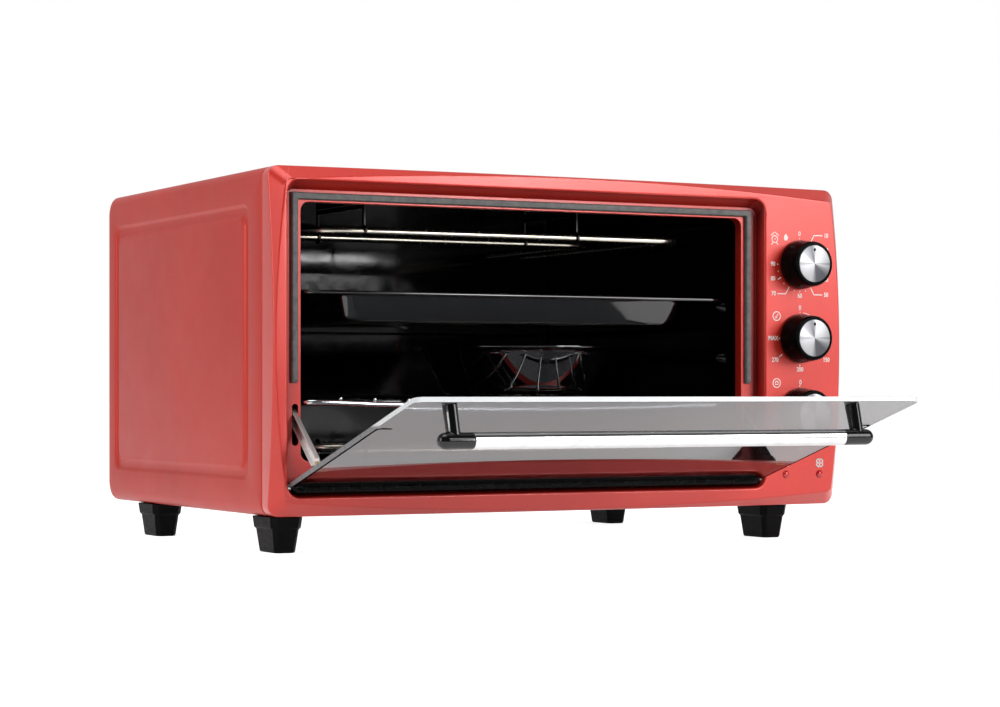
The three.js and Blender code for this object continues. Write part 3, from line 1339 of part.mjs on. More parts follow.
const FOOT_RIGHT = BODY.width - FOOT.rightInset - FOOT.width;
const FOOT_REAR = BODY.back - FOOT.rearInset - FOOT.length;
const FOOT_PLACES = {
  front_left: [FOOT.leftInset, FOOT.frontInset], front_right: [FOOT_RIGHT, FOOT.frontInset],
  rear_left: [FOOT.leftInset, FOOT_REAR], rear_right: [FOOT_RIGHT, FOOT_REAR],
};
for (const [place, [x, y]] of Object.entries(FOOT_PLACES)) {
  piece(`foot_${place}`, foot(x, y), FINISH.blackPlastic);
}

piece('heater_upper', heatingRod(ROD_UPPER_Z), FINISH.steel);
piece('heater_lower', heatingRod(ROD_LOWER_Z), FINISH.steel);
for (const [side, x] of Object.entries(HOLDER_PLACES)) {
  piece(`heater_holder_upper_${side}`, rodHolder(x, ROD_UPPER_Z, CAVITY_BOX.top), FINISH.steel);
  piece(`heater_holder_lower_${side}`, rodHolder(x, ROD_LOWER_Z, CAVITY_BOX.bottom), FINISH.steel);
}

piece('insulation_blanket', insulationBlanket(), FINISH.wool);
piece('heat_partition', heatPartition(), FINISH.steel);
piece('control_carrier', controlCarrier(), FINISH.steel);

CONTROLS.forEach(({ name, tabs, deeper }, index) => {
  const height = KNOB_HEIGHTS[index];
  piece(`${name}_unit`, controlUnit(height, tabs, deeper), FINISH.ceramic);
  piece(`${name}_shaft`, knobShaft(height), FINISH.steel);
  piece(`${name}_knob`, knob(height), FINISH.blackPlastic);
  piece(`${name}_knob_disc`, knobDisc(height), FINISH.aluminium);
});
for (const [side, x] of Object.entries(LAMP_PLACES)) piece(`lamp_${side}`, lamp(x), FINISH.lamp);

piece('door_glass', opened(doorGlass()), FINISH.glass);
piece('door_bottom_rail', opened(doorBottomRail()), FINISH.blackPlastic);
piece('hinge_pin_left', opened(hingePin()), FINISH.steel);
piece('hinge_pin_right', opened(mirrored(hingePin())), FINISH.steel);
piece('handle_mount_left', opened(handleMount(LEFT_STEM, 1)), FINISH.blackPlastic);
piece('handle_mount_right', opened(handleMount(RIGHT_STEM, -1)), FINISH.blackPlastic);
piece('handle_bar', opened(handleBar()), FINISH.aluminium);
piece('handle_screw_left', opened(handleScrew(LEFT_STEM)), FINISH.steel);
piece('handle_screw_right', opened(handleScrew(RIGHT_STEM)), FINISH.steel);
piece('hinge_bracket_left', opened(hingeBracket()), FINISH.zinc);
piece('hinge_bracket_right', opened(mirrored(hingeBracket())), FINISH.zinc);
piece('hinge_arm_left', armInPlace(hingeArm(), HINGE.openDegrees), FINISH.chrome);
piece('hinge_arm_right', mirrored(armInPlace(hingeArm(), HINGE.openDegrees)), FINISH.chrome);
piece('hinge_spring_left', hingeSpring(), FINISH.zinc);
piece('hinge_spring_right', mirrored(hingeSpring()), FINISH.zinc);

piece('wire_rack', wireRack(), FINISH.chrome);
piece('baking_tray', bakingTray(), FINISH.blackEnamel);
piece('round_pan', roundPan(), FINISH.blackEnamel);
piece('cord_gland', cordGland(), FINISH.blackPlastic);
piece('terminal_block', terminalBlock(), FINISH.ceramic);

// Stand the oven on its feet with the middle of its bounding box over the origin
const bounds = new THREE.Box3().setFromObject(group);
const shift = new THREE.Vector3(
  -(bounds.min.x + bounds.max.x) / 2, -(bounds.min.y + bounds.max.y) / 2, -bounds.min.z,
);
for (const mesh of group.children) mesh.geometry.translate(shift.x, shift.y, shift.z);
console.log('moved by', shift.x.toFixed(4), shift.y.toFixed(4), shift.z.toFixed(4));

export default group;
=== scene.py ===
"""The looks of a red tabletop mini oven with its glass door part open.

Shapes are written in body millimetres, X to the right along the front, Y to the back and Z up
from the underside of the cabinet, and become metres in the frame's own coordinates in place().
"""

import math

import bmesh
import bpy
from mathutils import Matrix, Vector

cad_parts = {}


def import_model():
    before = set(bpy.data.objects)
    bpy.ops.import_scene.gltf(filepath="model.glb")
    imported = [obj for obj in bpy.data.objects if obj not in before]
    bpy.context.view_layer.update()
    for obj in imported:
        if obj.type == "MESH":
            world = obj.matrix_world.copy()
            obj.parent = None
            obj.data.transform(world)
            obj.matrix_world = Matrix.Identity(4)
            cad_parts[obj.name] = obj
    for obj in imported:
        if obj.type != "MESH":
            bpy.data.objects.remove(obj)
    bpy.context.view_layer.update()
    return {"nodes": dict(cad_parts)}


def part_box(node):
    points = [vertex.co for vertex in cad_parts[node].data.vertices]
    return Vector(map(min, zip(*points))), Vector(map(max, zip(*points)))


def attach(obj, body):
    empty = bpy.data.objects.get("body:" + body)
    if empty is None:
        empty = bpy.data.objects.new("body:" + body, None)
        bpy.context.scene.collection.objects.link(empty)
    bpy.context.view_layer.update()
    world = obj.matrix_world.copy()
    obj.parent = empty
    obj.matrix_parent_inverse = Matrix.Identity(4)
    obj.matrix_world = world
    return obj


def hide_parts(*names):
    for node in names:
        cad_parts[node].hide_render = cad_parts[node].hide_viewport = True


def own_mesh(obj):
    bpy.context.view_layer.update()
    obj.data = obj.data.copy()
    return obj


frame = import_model()

MM = 0.001
SAME_POINT = 1e-6
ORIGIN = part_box("front_frame")[0].copy()
QUARTER = math.pi / 2
TURN = 2 * math.pi

# Sizes of the body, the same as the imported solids'
BODY_WIDTH, BODY_HEIGHT, BODY_BACK, SHEET = 520, 267, 381.5, 0.8
RECESS = (11.2, 15, 443.4, 255.6)
MOUTH = (27, 42, 427, 240)
MIRROR_X = (RECESS[0] + RECESS[2]) / 2
HINGE_Y, HINGE_Z, OPEN_DEGREES = 5.5, 22.7, 73
PANEL_X, KNOB_Z = 478, {"timer": 202.01, "thermostat": 139.99, "selector": 77.99}
LAMP_X, LAMP_Z = {"left": 464, "right": 498}, 25.8
ROD_Z, ROD_OUTER_X, ROD_INNER_X = {"upper": 222, "lower": 51}, 398, 361
EAR_FRONT, EAR_BACK, SEAT = 120.2, 121.8, 0.3


# Shape helpers

def place(x, y, z):
    return ORIGIN + Vector((x, y, z)) * MM


def new_object(name, mesh):
    obj = bpy.data.objects.new(name, mesh)
    bpy.context.scene.collection.objects.link(obj)
    return obj


def solid(name, points, faces):
    """A closed mesh from points in body millimetres."""
    mesh = bpy.data.meshes.new(name)
    mesh.from_pydata([place(*p) for p in points], [], faces)
    work = bmesh.new()
    work.from_mesh(mesh)
    bmesh.ops.remove_doubles(work, verts=work.verts, dist=SAME_POINT)
    bmesh.ops.recalc_face_normals(work, faces=work.faces)
    work.to_mesh(mesh)
    work.free()
    return new_object(name, mesh)


def loft(name, rings, joined=False, split=0):
    """Rings of points, each joined to the next and the last to the first. Unless joined is set, the ring at
    split and the one before it don't meet, and each is closed with a face."""
    count = len(rings[0])
    points = [p for ring in rings for p in ring]
    faces = []
    for index in range(len(rings)):
        following = (index + 1) % len(rings)
        if following == split and not joined:
            continue
        here, there = index * count, following * count
        for step in range(count):
            after = (step + 1) % count
            faces.append((here + step, here + after, there + after, there + step))
    if not joined:
        for index in (split, split - 1):
            start = index % len(rings) * count
            faces.append(tuple(range(start, start + count)))
    return solid(name, points, faces)


AXES = {
    "x": lambda u, v, w: (w, u, v),
    "y": lambda u, v, w: (u, w, v),
    "z": lambda u, v, w: (u, v, w),
}


def prism(name, outline, axis, start, end):
    to_point = AXES[axis]
    return loft(name, [[to_point(u, v, w) for u, v in outline] for w in (start, end)])


def turned(name, profile, axis, centre, segments=96):
    """A turned piece: the profile's pairs are radius and height along the axis. A profile that starts on the
    axis also ends there; any other is closed back to its start."""
    to_point = AXES[axis]
    rings = []
    for radius, height in profile:
        points = [to_point(u, v, height) for u, v in circle(0, 0, radius, segments)]
        rings.append([tuple(a + b for a, b in zip(p, centre)) for p in points])
    return loft(name, rings, joined=profile[0][0] > 0)


def tube(name, path, radius, sides=20, joined=False):
    """A round bar along a path, with softened ends."""
    path = [Vector(p) for p in path]
    last = len(path) - 1
    stations = []
    for index, point in enumerate(path):
        before = path[index - 1] if joined or index else point
        after = path[(index + 1) % len(path)] if joined or index < last else point
        stations.append((point, (after - before).normalized(), radius))
    if not joined:
        for index, inwards in ((0, 1), (-1, -1)):
            point, ahead, _ = stations[index]
            stations[index] = (point + ahead * (inwards * radius * 0.2), ahead, radius)
            stations.insert(0 if index == 0 else len(stations), (point, ahead, radius * 0.8))
    ahead = stations[0][1]
    across = ahead.cross(Vector((0, 0, 1)) if abs(ahead.z) < 0.7 else Vector((1, 0, 0))).normalized()
    angles = [(step + 0.5) / sides * TURN for step in range(sides)]
    rings = []
    for centre, ahead, size in stations:
        across = (across - ahead * across.dot(ahead)).normalized()
        up = across.cross(ahead)
        rings.append([centre + across * (size * math.cos(a)) + up * (size * math.sin(a)) for a in angles])
    return loft(name, rings, joined)


def rounded_path(corners, radius, steps=10, joined=False):
    path = []
    count = len(corners)
    corners = [Vector(c) for c in corners]
    for index, corner in enumerate(corners):
        if not joined and index in (0, count - 1):
            path.append(corner)
            continue
        back = (corners[index - 1] - corner).normalized()
        forth = (corners[(index + 1) % count] - corner).normalized()
        half = back.angle(forth) / 2
        centre = corner + (back + forth).normalized() * (radius / math.sin(half))
        start = corner + back * (radius / math.tan(half)) - centre
        end = corner + forth * (radius / math.tan(half)) - centre
        sweep = start.angle(end)
        for step in range(steps + 1):
            share = step / steps
            path.append(centre + start * (math.sin((1 - share) * sweep) / math.sin(sweep))
                        + end * (math.sin(share * sweep) / math.sin(sweep)))
    return path


def box_outline(left, low, right, high):
    return [(left, low), (right, low), (right, high), (left, high)]


def quarter_arc(u, v, radius, quarter, steps):
    """The points of one quarter of a circle; quarter 0 is the upper right one and 1 the upper left."""
    angles = [(quarter + step / steps) * QUARTER for step in range(steps + 1)]
    return [(u + radius * math.cos(angle), v + radius * math.sin(angle)) for angle in angles]


def rounded_box(left, low, right, high, radius, steps=8):
    centres = box_outline(left + radius, low + radius, right - radius, high - radius)
    outline = []
    for (u, v), quarter in zip(centres, (2, 3, 0, 1)):
        outline += quarter_arc(u, v, radius, quarter, steps)
    return outline


def eased(share):
    return share * share * (3 - 2 * share)


def circle(u, v, radius, segments=48):
    angles = [step / segments * TURN for step in range(segments)]
    return [(u + radius * math.cos(angle), v + radius * math.sin(angle)) for angle in angles]


def smooth_line(points, count):
    """A soft curve through 2-D points, as count + 1 points."""
    padded = [points[0], *points, points[-1]]
    result = []
    for index in range(count + 1):
        at = index / count * (len(points) - 1)
        span = min(int(at), len(points) - 2)
        t = at - span
        p0, p1, p2, p3 = padded[span:span + 4]
        result.append(tuple(0.5 * (2 * b + (c - a) * t + (2 * a - 5 * b + 4 * c - d) * t ** 2
                                   + (3 * b - a - 3 * c + d) * t ** 3)
                            for a, b, c, d in zip(p0, p1, p2, p3)))
    return result


def modify(obj, kind, **values):
    """Adds a modifier with its settings."""
    modifier = obj.modifiers.new(kind, kind)
    for name, value in values.items():
        setattr(modifier, name, value)


def settle(obj):
    """Applies obj's modifiers."""
    graph = bpy.context.evaluated_depsgraph_get()
    mesh = bpy.data.meshes.new_from_object(obj.evaluated_get(graph))
    obj.modifiers.clear()
    obj.data = mesh


def carve(obj, *cutters):
    """Cuts the cutters out of obj and removes them."""
    for cutter in cutters:
        modify(obj, "BOOLEAN", object=cutter, operation="DIFFERENCE", solver="EXACT")
    settle(obj)
    for cutter in cutters:
        bpy.data.objects.remove(cutter)
    return obj


def merge(name, objects):
    """Several meshes as one object."""
    work = bmesh.new()
    for obj in objects:
        work.from_mesh(obj.data)
    mesh = bpy.data.meshes.new(name)
    work.to_mesh(mesh)
    work.free()
    for obj in objects:
        bpy.data.objects.remove(obj)
    return new_object(name, mesh)


def mirrored(obj, name, about=MIRROR_X):
    """A mirror image of obj's mesh about a plane across X."""
    mesh = obj.data.copy()
    middle = place(about, 0, 0).x
    mesh.transform(Matrix.Translation((2 * middle, 0, 0)) @ Matrix.Scale(-1, 4, (1, 0, 0)))
    mesh.flip_normals()
    return new_object(name, mesh)


AXIS_POINT = place(0, HINGE_Y, HINGE_Z)
DOOR = (Matrix.Translation(AXIS_POINT) @ Matrix.Rotation(math.radians(OPEN_DEGREES), 4, "X")
        @ Matrix.Translation(-AXIS_POINT))


def opened(obj):
    """Carries a mesh made in the closed pose to the open door."""
    obj.data.transform(DOOR)
    return obj


def soften(obj, bevel=0.0, segments=3, angle=30):
    """Smooth shading, with a small round on each edge sharper than the angle."""
    obj.data.shade_smooth()
    if bevel:
        modify(obj, "BEVEL", width=bevel * MM, segments=segments, limit_method="ANGLE",
               angle_limit=math.radians(angle), use_clamp_overlap=False, harden_normals=False)
        modify(obj, "WEIGHTED_NORMAL", keep_sharp=False, weight=80)
    else:
        obj.data.set_sharp_from_angle(angle=math.radians(angle))
    return obj


def dress(obj, body, slot, material, *replaced):
    """Gives a piece its body and its finish, and hides the solids that it stands for."""
    obj.data.materials.clear()
    obj.data.materials.append(material)
    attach(obj, body)
    if replaced:
        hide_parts(*replaced)
    return obj


def copied(node, whole_faces=False):
    """A solid's mesh as a new object, with its corners joined and, where asked, its flat faces whole."""
    source = frame["nodes"][node].data
    mesh = bpy.data.meshes.new(node + "_fine")
    mesh.from_pydata([v.co for v in source.vertices], [], [tuple(p.vertices) for p in source.polygons])
    work = bmesh.new()
    work.from_mesh(mesh)
    bmesh.ops.remove_doubles(work, verts=work.verts, dist=SAME_POINT)
    if whole_faces:
        bmesh.ops.dissolve_limit(work, angle_limit=math.radians(0.8), verts=work.verts, edges=work.edges)
    work.to_mesh(mesh)
    work.free()
    return new_object(node + "_fine", mesh)


def refined(node, body, slot, material, bevel=0.35, segments=2, angle=34):
    """A copy of a solid with its edges rounded."""
    return dress(soften(copied(node, True), bevel, segments, angle), body, slot, material, node)


# Materials

# painted shade: the dark red tone that ambient occlusion multiplies into paint in its hollows
HOLLOW_SHADE_TONE = (0.3, 0.08, 0.1, 1)
FLAKE_SCALE = 2600


def linear(*srgb):
    """A display colour of 0 to 255 as the shader's linear colour."""
    return tuple((c / 255 / 12.92) if c <= 10 else ((c / 255 + 0.055) / 1.055) ** 2.4 for c in srgb) + (1.0,)


def scaled(colour, share):
    return tuple(c * share for c in colour[:3]) + (1.0,)


def grey(level):
    return (level, level, level, 1.0)


class Nodes:
    """A node tree and short ways to add to it."""

    def __init__(self, tree):
        self.tree = tree

    def add(self, kind, inputs=None, **values):
        """A new shader node. Of its inputs, an output socket is linked and anything else is set."""
        node = self.tree.nodes.new("ShaderNode" + kind)
        for name, value in values.items():
            setattr(node, name, value)
        for socket, value in (inputs or {}).items():
            if isinstance(value, bpy.types.NodeSocket):
                self.tree.links.new(value, node.inputs[socket])
            else:
                node.inputs[socket].default_value = value
        return node

    def math(self, operation, first, second):
        return self.add("Math", {0: first, 1: second}, operation=operation).outputs[0]

    def vector_math(self, operation, *vectors):
        return self.add("VectorMath", dict(enumerate(vectors)), operation=operation).outputs

    def split(self, vector):
        return self.add("SeparateXYZ", {"Vector": vector}).outputs

    def either(self, share, a, b):
        """The number a where share is 0, and b where it is 1."""
        return self.add("Mix", {"Factor": share, "A": a, "B": b}).outputs["Result"]

    def multiplied(self, a, b):
        """Two colours multiplied."""
        inputs = {"Factor": 1.0, "A": a, "B": b}
        return self.add("Mix", inputs, data_type="RGBA", blend_type="MULTIPLY").outputs["Result"]

    def spread(self, value, low, high, start=0.3, end=0.7, **values):
        """The value's stretch from start to end, as low to high."""
        inputs = {"Value": value, "From Min": start, "From Max": end, "To Min": low, "To Max": high}
        return self.add("MapRange", inputs, **values).outputs["Result"]

    def tones(self, value, *stops):
        """A colour ramp; each stop is a position and its colour."""
        ramp = self.add("ValToRGB", {"Fac": value})
        points = ramp.color_ramp.elements
        while len(points) < len(stops):
            points.new(0.5)
        for point, (position, colour) in zip(points, stops):
            point.position, point.color = position, colour
        return ramp.outputs["Color"]


class Finish(Nodes):
    """A node material built round one Principled shader."""

    def __init__(self, name, colour, **sockets):
        self.material = bpy.data.materials.new(name)
        self.material.use_nodes = True
        super().__init__(self.material.node_tree)
        self.shader = self.tree.nodes["Principled BSDF"]
        self.shader.inputs["Base Color"].default_value = colour
        for socket, value in sockets.items():
            self.shader.inputs[socket.replace("_", " ")].default_value = value
        self.coordinates = self.add("TexCoord").outputs["Object"]
        self.height = None

    def feed(self, socket, output):
        self.tree.links.new(output, self.shader.inputs[socket])

    def noise(self, scale, detail=3.0, roughness=0.55, stretch=None):
        vector = self.coordinates
        if stretch:
            vector = self.add("Mapping", {"Scale": stretch, "Vector": vector}).outputs["Vector"]
        inputs = {"Scale": scale, "Detail": detail, "Roughness": roughness, "Vector": vector}
        return self.add("TexNoise", inputs).outputs["Fac"]

    def shaded_in_hollows(self, colour, reach):
        """The colour with painted shade: darker and redder in the piece's own hollows that are narrower than
        reach, in millimetres, by ambient occlusion.
        """
        hollows = self.add("AmbientOcclusion", {"Distance": reach * MM}, samples=16, only_local=True)
        return self.multiplied(colour, self.tones(hollows.outputs["AO"], (0.6, HOLLOW_SHADE_TONE), (0.96, grey(1))))

    def colour(self, value, *stops):
        self.feed("Base Color", self.tones(value, *stops))

    def rough(self, value, low, high):
        self.feed("Roughness", self.spread(value, low, high))

    def bump(self, value, depth, strength=1.0):
        """Depth is in millimetres."""
        inputs = {"Strength": strength, "Distance": depth * MM, "Height": value}
        if self.height:
            inputs["Normal"] = self.height
        self.height = self.add("Bump", inputs).outputs["Normal"]
        self.feed("Normal", self.height)


def paint(name, colour, roughness, flake, hollow_shade_reach=0, **sockets):
    """Metallic enamel: fine flakes, slow tone drift and a slightly wavy clear surface. Hollows narrower than
    the given millimetres get painted shade, darker in tone."""
    made = Finish(name, colour, **sockets)
    cells = made.add("TexVoronoi", {"Scale": FLAKE_SCALE, "Vector": made.coordinates}).outputs["Color"]
    flakes = made.add("RGBToBW", {"Color": cells}).outputs["Val"]
    drift = made.tones(made.noise(9, 2), (0.35, scaled(colour, 0.95)), (0.65, scaled(colour, 1.05)))
    tone = made.multiplied(drift, made.tones(flakes, (0.2, grey(1 - flake)), (0.8, grey(1 + flake))))
    # painted shade in the paint's hollows, where a reach is given
    made.feed("Base Color", made.shaded_in_hollows(tone, hollow_shade_reach) if hollow_shade_reach else tone)
    made.rough(made.noise(40, 4), roughness - 0.03, roughness + 0.03)
    made.bump(made.noise(900, 2), 0.012, 0.5)
    made.bump(made.noise(60, 2), 0.04, 0.4)
    return made.material


def enamel(name, colour, low, high, **sockets):
    made = Finish(name, colour, **sockets)
    made.rough(made.noise(55, 5), low, high)
    made.colour(made.noise(35, 4), (0.3, scaled(colour, 0.75)), (0.7, scaled(colour, 1.5)))
    made.bump(made.noise(45, 2), 0.05, 0.5)
    made.bump(made.noise(700, 2), 0.006, 0.4)
    return made.material


def plastic(name, colour, low, high, grain, depth, specular=0.5):
    made = Finish(name, colour, Specular_IOR_Level=specular)
    made.rough(made.noise(grain / 8, 4), low, high)
    made.colour(made.noise(60, 3), (0.3, scaled(colour, 0.8)), (0.7, scaled(colour, 1.3)))
    made.bump(made.noise(grain, 2), depth, 0.6)
    return made.material


def metal(name, colour, low, high, stretch=(1, 1, 1), grain=900, depth=0.004, **sockets):
    made = Finish(name, colour, Metallic=1.0, **sockets)
    lines = made.noise(grain, 3, stretch=stretch)
    made.rough(lines, low, high)
    made.colour(made.noise(70, 4), (0.3, scaled(colour, 0.86)), (0.7, colour))
    made.bump(lines, depth, 0.5)
    return made.material


def rubber():
    made = Finish("grey_rubber", linear(116, 117, 116), Roughness=0.6)
    made.colour(made.noise(220, 4), (0.3, linear(86, 87, 87)), (0.7, linear(110, 110, 108)))
    made.rough(made.noise(180, 3), 0.5, 0.72)
    made.bump(made.noise(1200, 3), 0.05, 0.7)
    return made.material


def wool():
    made = Finish("mineral_wool", linear(222, 214, 190), Roughness=0.95)
    made.colour(made.noise(90, 6, 0.7), (0.3, linear(196, 186, 158)), (0.7, linear(236, 230, 210)))
    made.bump(made.noise(400, 6, 0.7), 0.6)
    return made.material


def lamp_red():
    made = Finish("lamp_red", linear(205, 12, 16), Roughness=0.12, Coat_Weight=0.6, Coat_Roughness=0.04)
    made.colour(made.noise(300, 2), (0.3, linear(180, 8, 12)), (0.7, linear(228, 18, 22)))
    return made.material


def white_print():
    made = Finish("white_print", linear(246, 243, 240), Roughness=0.45)
    made.colour(made.noise(900, 3), (0.3, linear(236, 230, 226)), (0.6, linear(252, 250, 248)))
    made.rough(made.noise(700, 2), 0.4, 0.55)
    return made.material


def disc_metal_painted_sectors():
    """Aluminium faced on a lathe: fine rings, and a painted reflection of light and dark sectors in its
    colour that meet at the middle.
    """
    made = Finish("turned_aluminium_painted_sectors", (0.5, 0.5, 0.51, 1), Metallic=1.0, Anisotropic=0.3)
    made.feed("Tangent", made.add("Tangent", direction_type="RADIAL", axis="Y").outputs["Tangent"])
    generated = made.add("TexCoord").outputs["Generated"]
    centred = made.vector_math("SUBTRACT", generated, (0.5, 0.5, 0.5))["Vector"]
    across = made.split(centred)
    turn = made.spread(made.math("ARCTAN2", across["Z"], across["X"]), 0.0, 1.0, -math.pi, math.pi)
    # painted reflection: the bright and dark sector tones stand for light that the turned grain catches and
    # misses
    light, dark, middle = (0.36, 0.36, 0.37, 1), (0.09, 0.09, 0.1, 1), (0.2, 0.2, 0.21, 1)
    made.colour(turn, (0.0, middle), (0.03, light), (0.21, light), (0.27, dark), (0.38, dark), (0.43, middle),
                (0.48, light), (0.5, middle), (0.52, light), (0.73, light), (0.78, dark), (0.88, middle),
                (0.93, light), (0.98, light), (1.0, middle))
    level = made.vector_math("MULTIPLY", centred, (1, 0, 1))["Vector"]
    inputs = {"Scale": 160, "Detail": 2, "W": made.vector_math("LENGTH", level)["Value"]}
    rings = made.add("TexNoise", inputs, noise_dimensions="1D").outputs["Fac"]
    made.rough(rings, 0.34, 0.46)
    made.bump(rings, 0.006, 0.5)
    return made.material


def tinted_glass():
    """Grey glass that lets light through to what stands behind it."""
    made = Finish("tinted_glass", linear(108, 110, 114), Transmission_Weight=1.0, IOR=1.52)
    made.rough(made.noise(30, 4), 0.005, 0.03)
    clear = made.add("BsdfTransparent", {"Color": (0.2, 0.203, 0.21, 1)}).outputs["BSDF"]
    shadow = made.add("LightPath").outputs["Is Shadow Ray"]
    mix = made.add("MixShader", {0: shadow, 1: made.shader.outputs["BSDF"], 2: clear}).outputs["Shader"]
    made.tree.links.new(mix, made.tree.nodes["Material Output"].inputs["Surface"])
    return made.material


def glass_edge():
    """The ground edge of the pane, which gathers the light inside it."""
    made = Finish("ground_glass_edge", linear(214, 217, 219), Roughness=0.3)
    # duller along the lower part of both sides, up to the marks on the pane
    height = made.split(made.add("TexCoord").outputs["Generated"])["Z"]
    made.colour(height, (0.69, linear(112, 113, 115)), (0.72, linear(226, 228, 230)))
    made.rough(made.noise(300, 3), 0.22, 0.4)
    return made.material


# the front's paint gets painted shade in its hollows narrower than 30 mm
RED_FRONT = paint("red_front_enamel", linear(208, 42, 28), 0.36, 0.08, 30, Metallic=0.25, Coat_Weight=0.6,
                  Coat_Roughness=0.24)
RED_CABINET = paint("red_cabinet_enamel", linear(192, 52, 42), 0.42, 0.07, Metallic=0.3, Coat_Weight=0.08,
                    Coat_Roughness=0.3, Specular_IOR_Level=0.3)
BLACK_ENAMEL = enamel("black_gloss_enamel", (0.0016, 0.0016, 0.0018, 1), 0.05, 0.12,
                      Specular_IOR_Level=0.9)
CAVITY_ENAMEL = enamel("cavity_gloss_enamel", (0.0012, 0.0012, 0.0014, 1), 0.05, 0.12,
                       Specular_IOR_Level=0.32)
PAN_ENAMEL = enamel("pan_gloss_enamel", (0.0016, 0.0016, 0.002, 1), 0.03, 0.07, Specular_IOR_Level=0.9,
                    Coat_Weight=0.5, Coat_Roughness=0.03)
KNOB_BLACK = plastic("knob_black", (0.0016, 0.0016, 0.0018, 1), 0.2, 0.3, 1500, 0.006, 0.04)
MOUNT_BLACK = plastic("mount_black", (0.003, 0.003, 0.0032, 1), 0.08, 0.14, 1800, 0.004)
FOOT_BLACK = plastic("foot_black", (0.0024, 0.0024, 0.0028, 1), 0.4, 0.55, 2200, 0.02, 0.06)
RAIL_BLACK = plastic("rail_black", (0.002, 0.002, 0.0022, 1), 0.2, 0.3, 1800, 0.006, 0.08)
PANE_BLACK = plastic("pane_black", (0.003, 0.003, 0.0032, 1), 0.7, 0.8, 1500, 0.002, 0.0)
CERAMIC = plastic("unit_cream", linear(224, 218, 204), 0.5, 0.65, 900, 0.02)
CHROME = metal("chrome", (0.8, 0.81, 0.83, 1), 0.08, 0.16, grain=500, depth=0.002)
STEEL = metal("steel", (0.56, 0.56, 0.56, 1), 0.28, 0.42, stretch=(1, 1, 12))
ARM_STEEL = metal("arm_steel", (0.86, 0.86, 0.85, 1), 0.3, 0.42, grain=500, depth=0.002)
ROD_STEEL = metal("rod_steel", (0.62, 0.58, 0.5, 1), 0.16, 0.28, grain=600, depth=0.006)
CLIP_STEEL = metal("clip_steel", (0.03, 0.029, 0.028, 1), 0.25, 0.4, grain=600, depth=0.004)
ZINC = metal("yellow_zinc", (0.62, 0.52, 0.22, 1), 0.22, 0.4, grain=300, depth=0.004)
ALUMINIUM = metal("aluminium", (0.8, 0.8, 0.8, 1), 0.1, 0.16, stretch=(1, 40, 40), grain=60, depth=0.006,
                  Anisotropic=0.5)
RUBBER, WOOL, LAMP_RED, WHITE_PRINT = rubber(), wool(), lamp_red(), white_print()
DISC, GLASS, GLASS_EDGE = disc_metal_painted_sectors(), tinted_glass(), glass_edge()


# Front frame: a pressed plate whose outer edge bows out between its corners

def inset(box, side, level=None, top=None):
    level = side if level is None else level
    top = level if top is None else top
    return box[0] + side, box[1] + level, box[2] - side, box[3] - top


OUTER = (0, 0, BODY_WIDTH, BODY_HEIGHT)
FACE, RECESS_FLOOR = inset(OUTER, 9.4, 10.8), inset(RECESS, 2, 2, 6.2)
SIDE_BOW, LEVEL_BOW, DEPTH_BOW = 7.8, 9.4, 10.3
RECESS_DEPTH, NECK_END, RECESS_WALL, BACK_FLANGE = 12, 21, 1.3, 9
ARM_SLOT_X, ARM_SLOT_Z, ARM_SLOT_HALF_WIDTH, ARM_SLOT_HALF_HEIGHT = 22.4, 70, 2.6, 16
PIN_HOLE, SHAFT_HOLE, LAMP_HOLE = 2.8, 3.9, 3.3
FRAME_WALL, FRAME_DEPTH, SIDE_STEPS, CORNER_STEPS = 1.2, 23.6, 18, 8
RIDGE_STEPS, RIDGE_FLAT, RIDGE_BACK, RIDGE_DEPTH = 4, 1.0, 1.0, 0.9
RIM_STEPS, RIM_RADIUS, RIM_TURN = 5, 2.4, math.radians(50)
LIP_STEPS, LIP_RADIUS, LIP_IN = 6, 2.2, 0.5


def frame_ring(box, radius, depth, side_bow=0, level_bow=0, depth_bow=0):
    """A ring of the plate; its sides bow outwards and forwards between the corners."""
    points = rounded_box(*box, radius, CORNER_STEPS)
    outward = [(0, -level_bow), (side_bow, 0), (0, level_bow), (-side_bow, 0)]
    ring = []
    for side, (out_x, out_z) in enumerate(outward):
        first, following = side * (CORNER_STEPS + 1), (side + 1) * (CORNER_STEPS + 1)
        ring += [(x, depth, z) for x, z in points[first:following]]
        (start_x, start_z), (end_x, end_z) = points[following - 1], points[following % len(points)]
        for step in range(1, SIDE_STEPS + 1):
            share = step / (SIDE_STEPS + 1)
            bow = 1 - (2 * share - 1) ** 2
            ring.append((start_x + (end_x - start_x) * share + out_x * bow, depth - depth_bow * bow,
                         start_z + (end_z - start_z) * share + out_z * bow))
    return ring


def front_ridge():
    """The ridge between bevel and face, rolled over some millimetres of both."""
    rings = []
    for step in range(RIDGE_STEPS + 1):
        share = step / RIDGE_STEPS
        back, flat = (1 - share) ** 2, share ** 2
        full = 1 - back * 0.1
        rings.append(frame_ring(inset(FACE, flat * RIDGE_FLAT - back * RIDGE_BACK), 3 + 6 * back,
                                back * RIDGE_DEPTH, SIDE_BOW * full, LEVEL_BOW * full, back * 0.8))
    return rings


def front_rim():
    """The rolled outer edge, between the side of the frame and the bevel."""
    rings = []
    for step in range(RIM_STEPS + 1):
        angle = step / RIM_STEPS * RIM_TURN
        depth = 11.9 + RIM_RADIUS * (RIM_TURN / 2 - math.sin(angle))
        rings.append(frame_ring(inset(OUTER, RIM_RADIUS * (1 - math.cos(angle))), 9, depth, 0, 0, DEPTH_BOW))
    return rings


def front_lip():
    """The round lip by which the plate rolls into the recess."""
    rings = []
    for step in range(LIP_STEPS + 1):
        angle = step / LIP_STEPS * QUARTER
        over = LIP_RADIUS * (math.sin(angle) - 1) + LIP_IN
        rings.append(frame_ring(inset(RECESS, over), 10 - over, LIP_RADIUS * (1 - math.cos(angle))))
    return rings


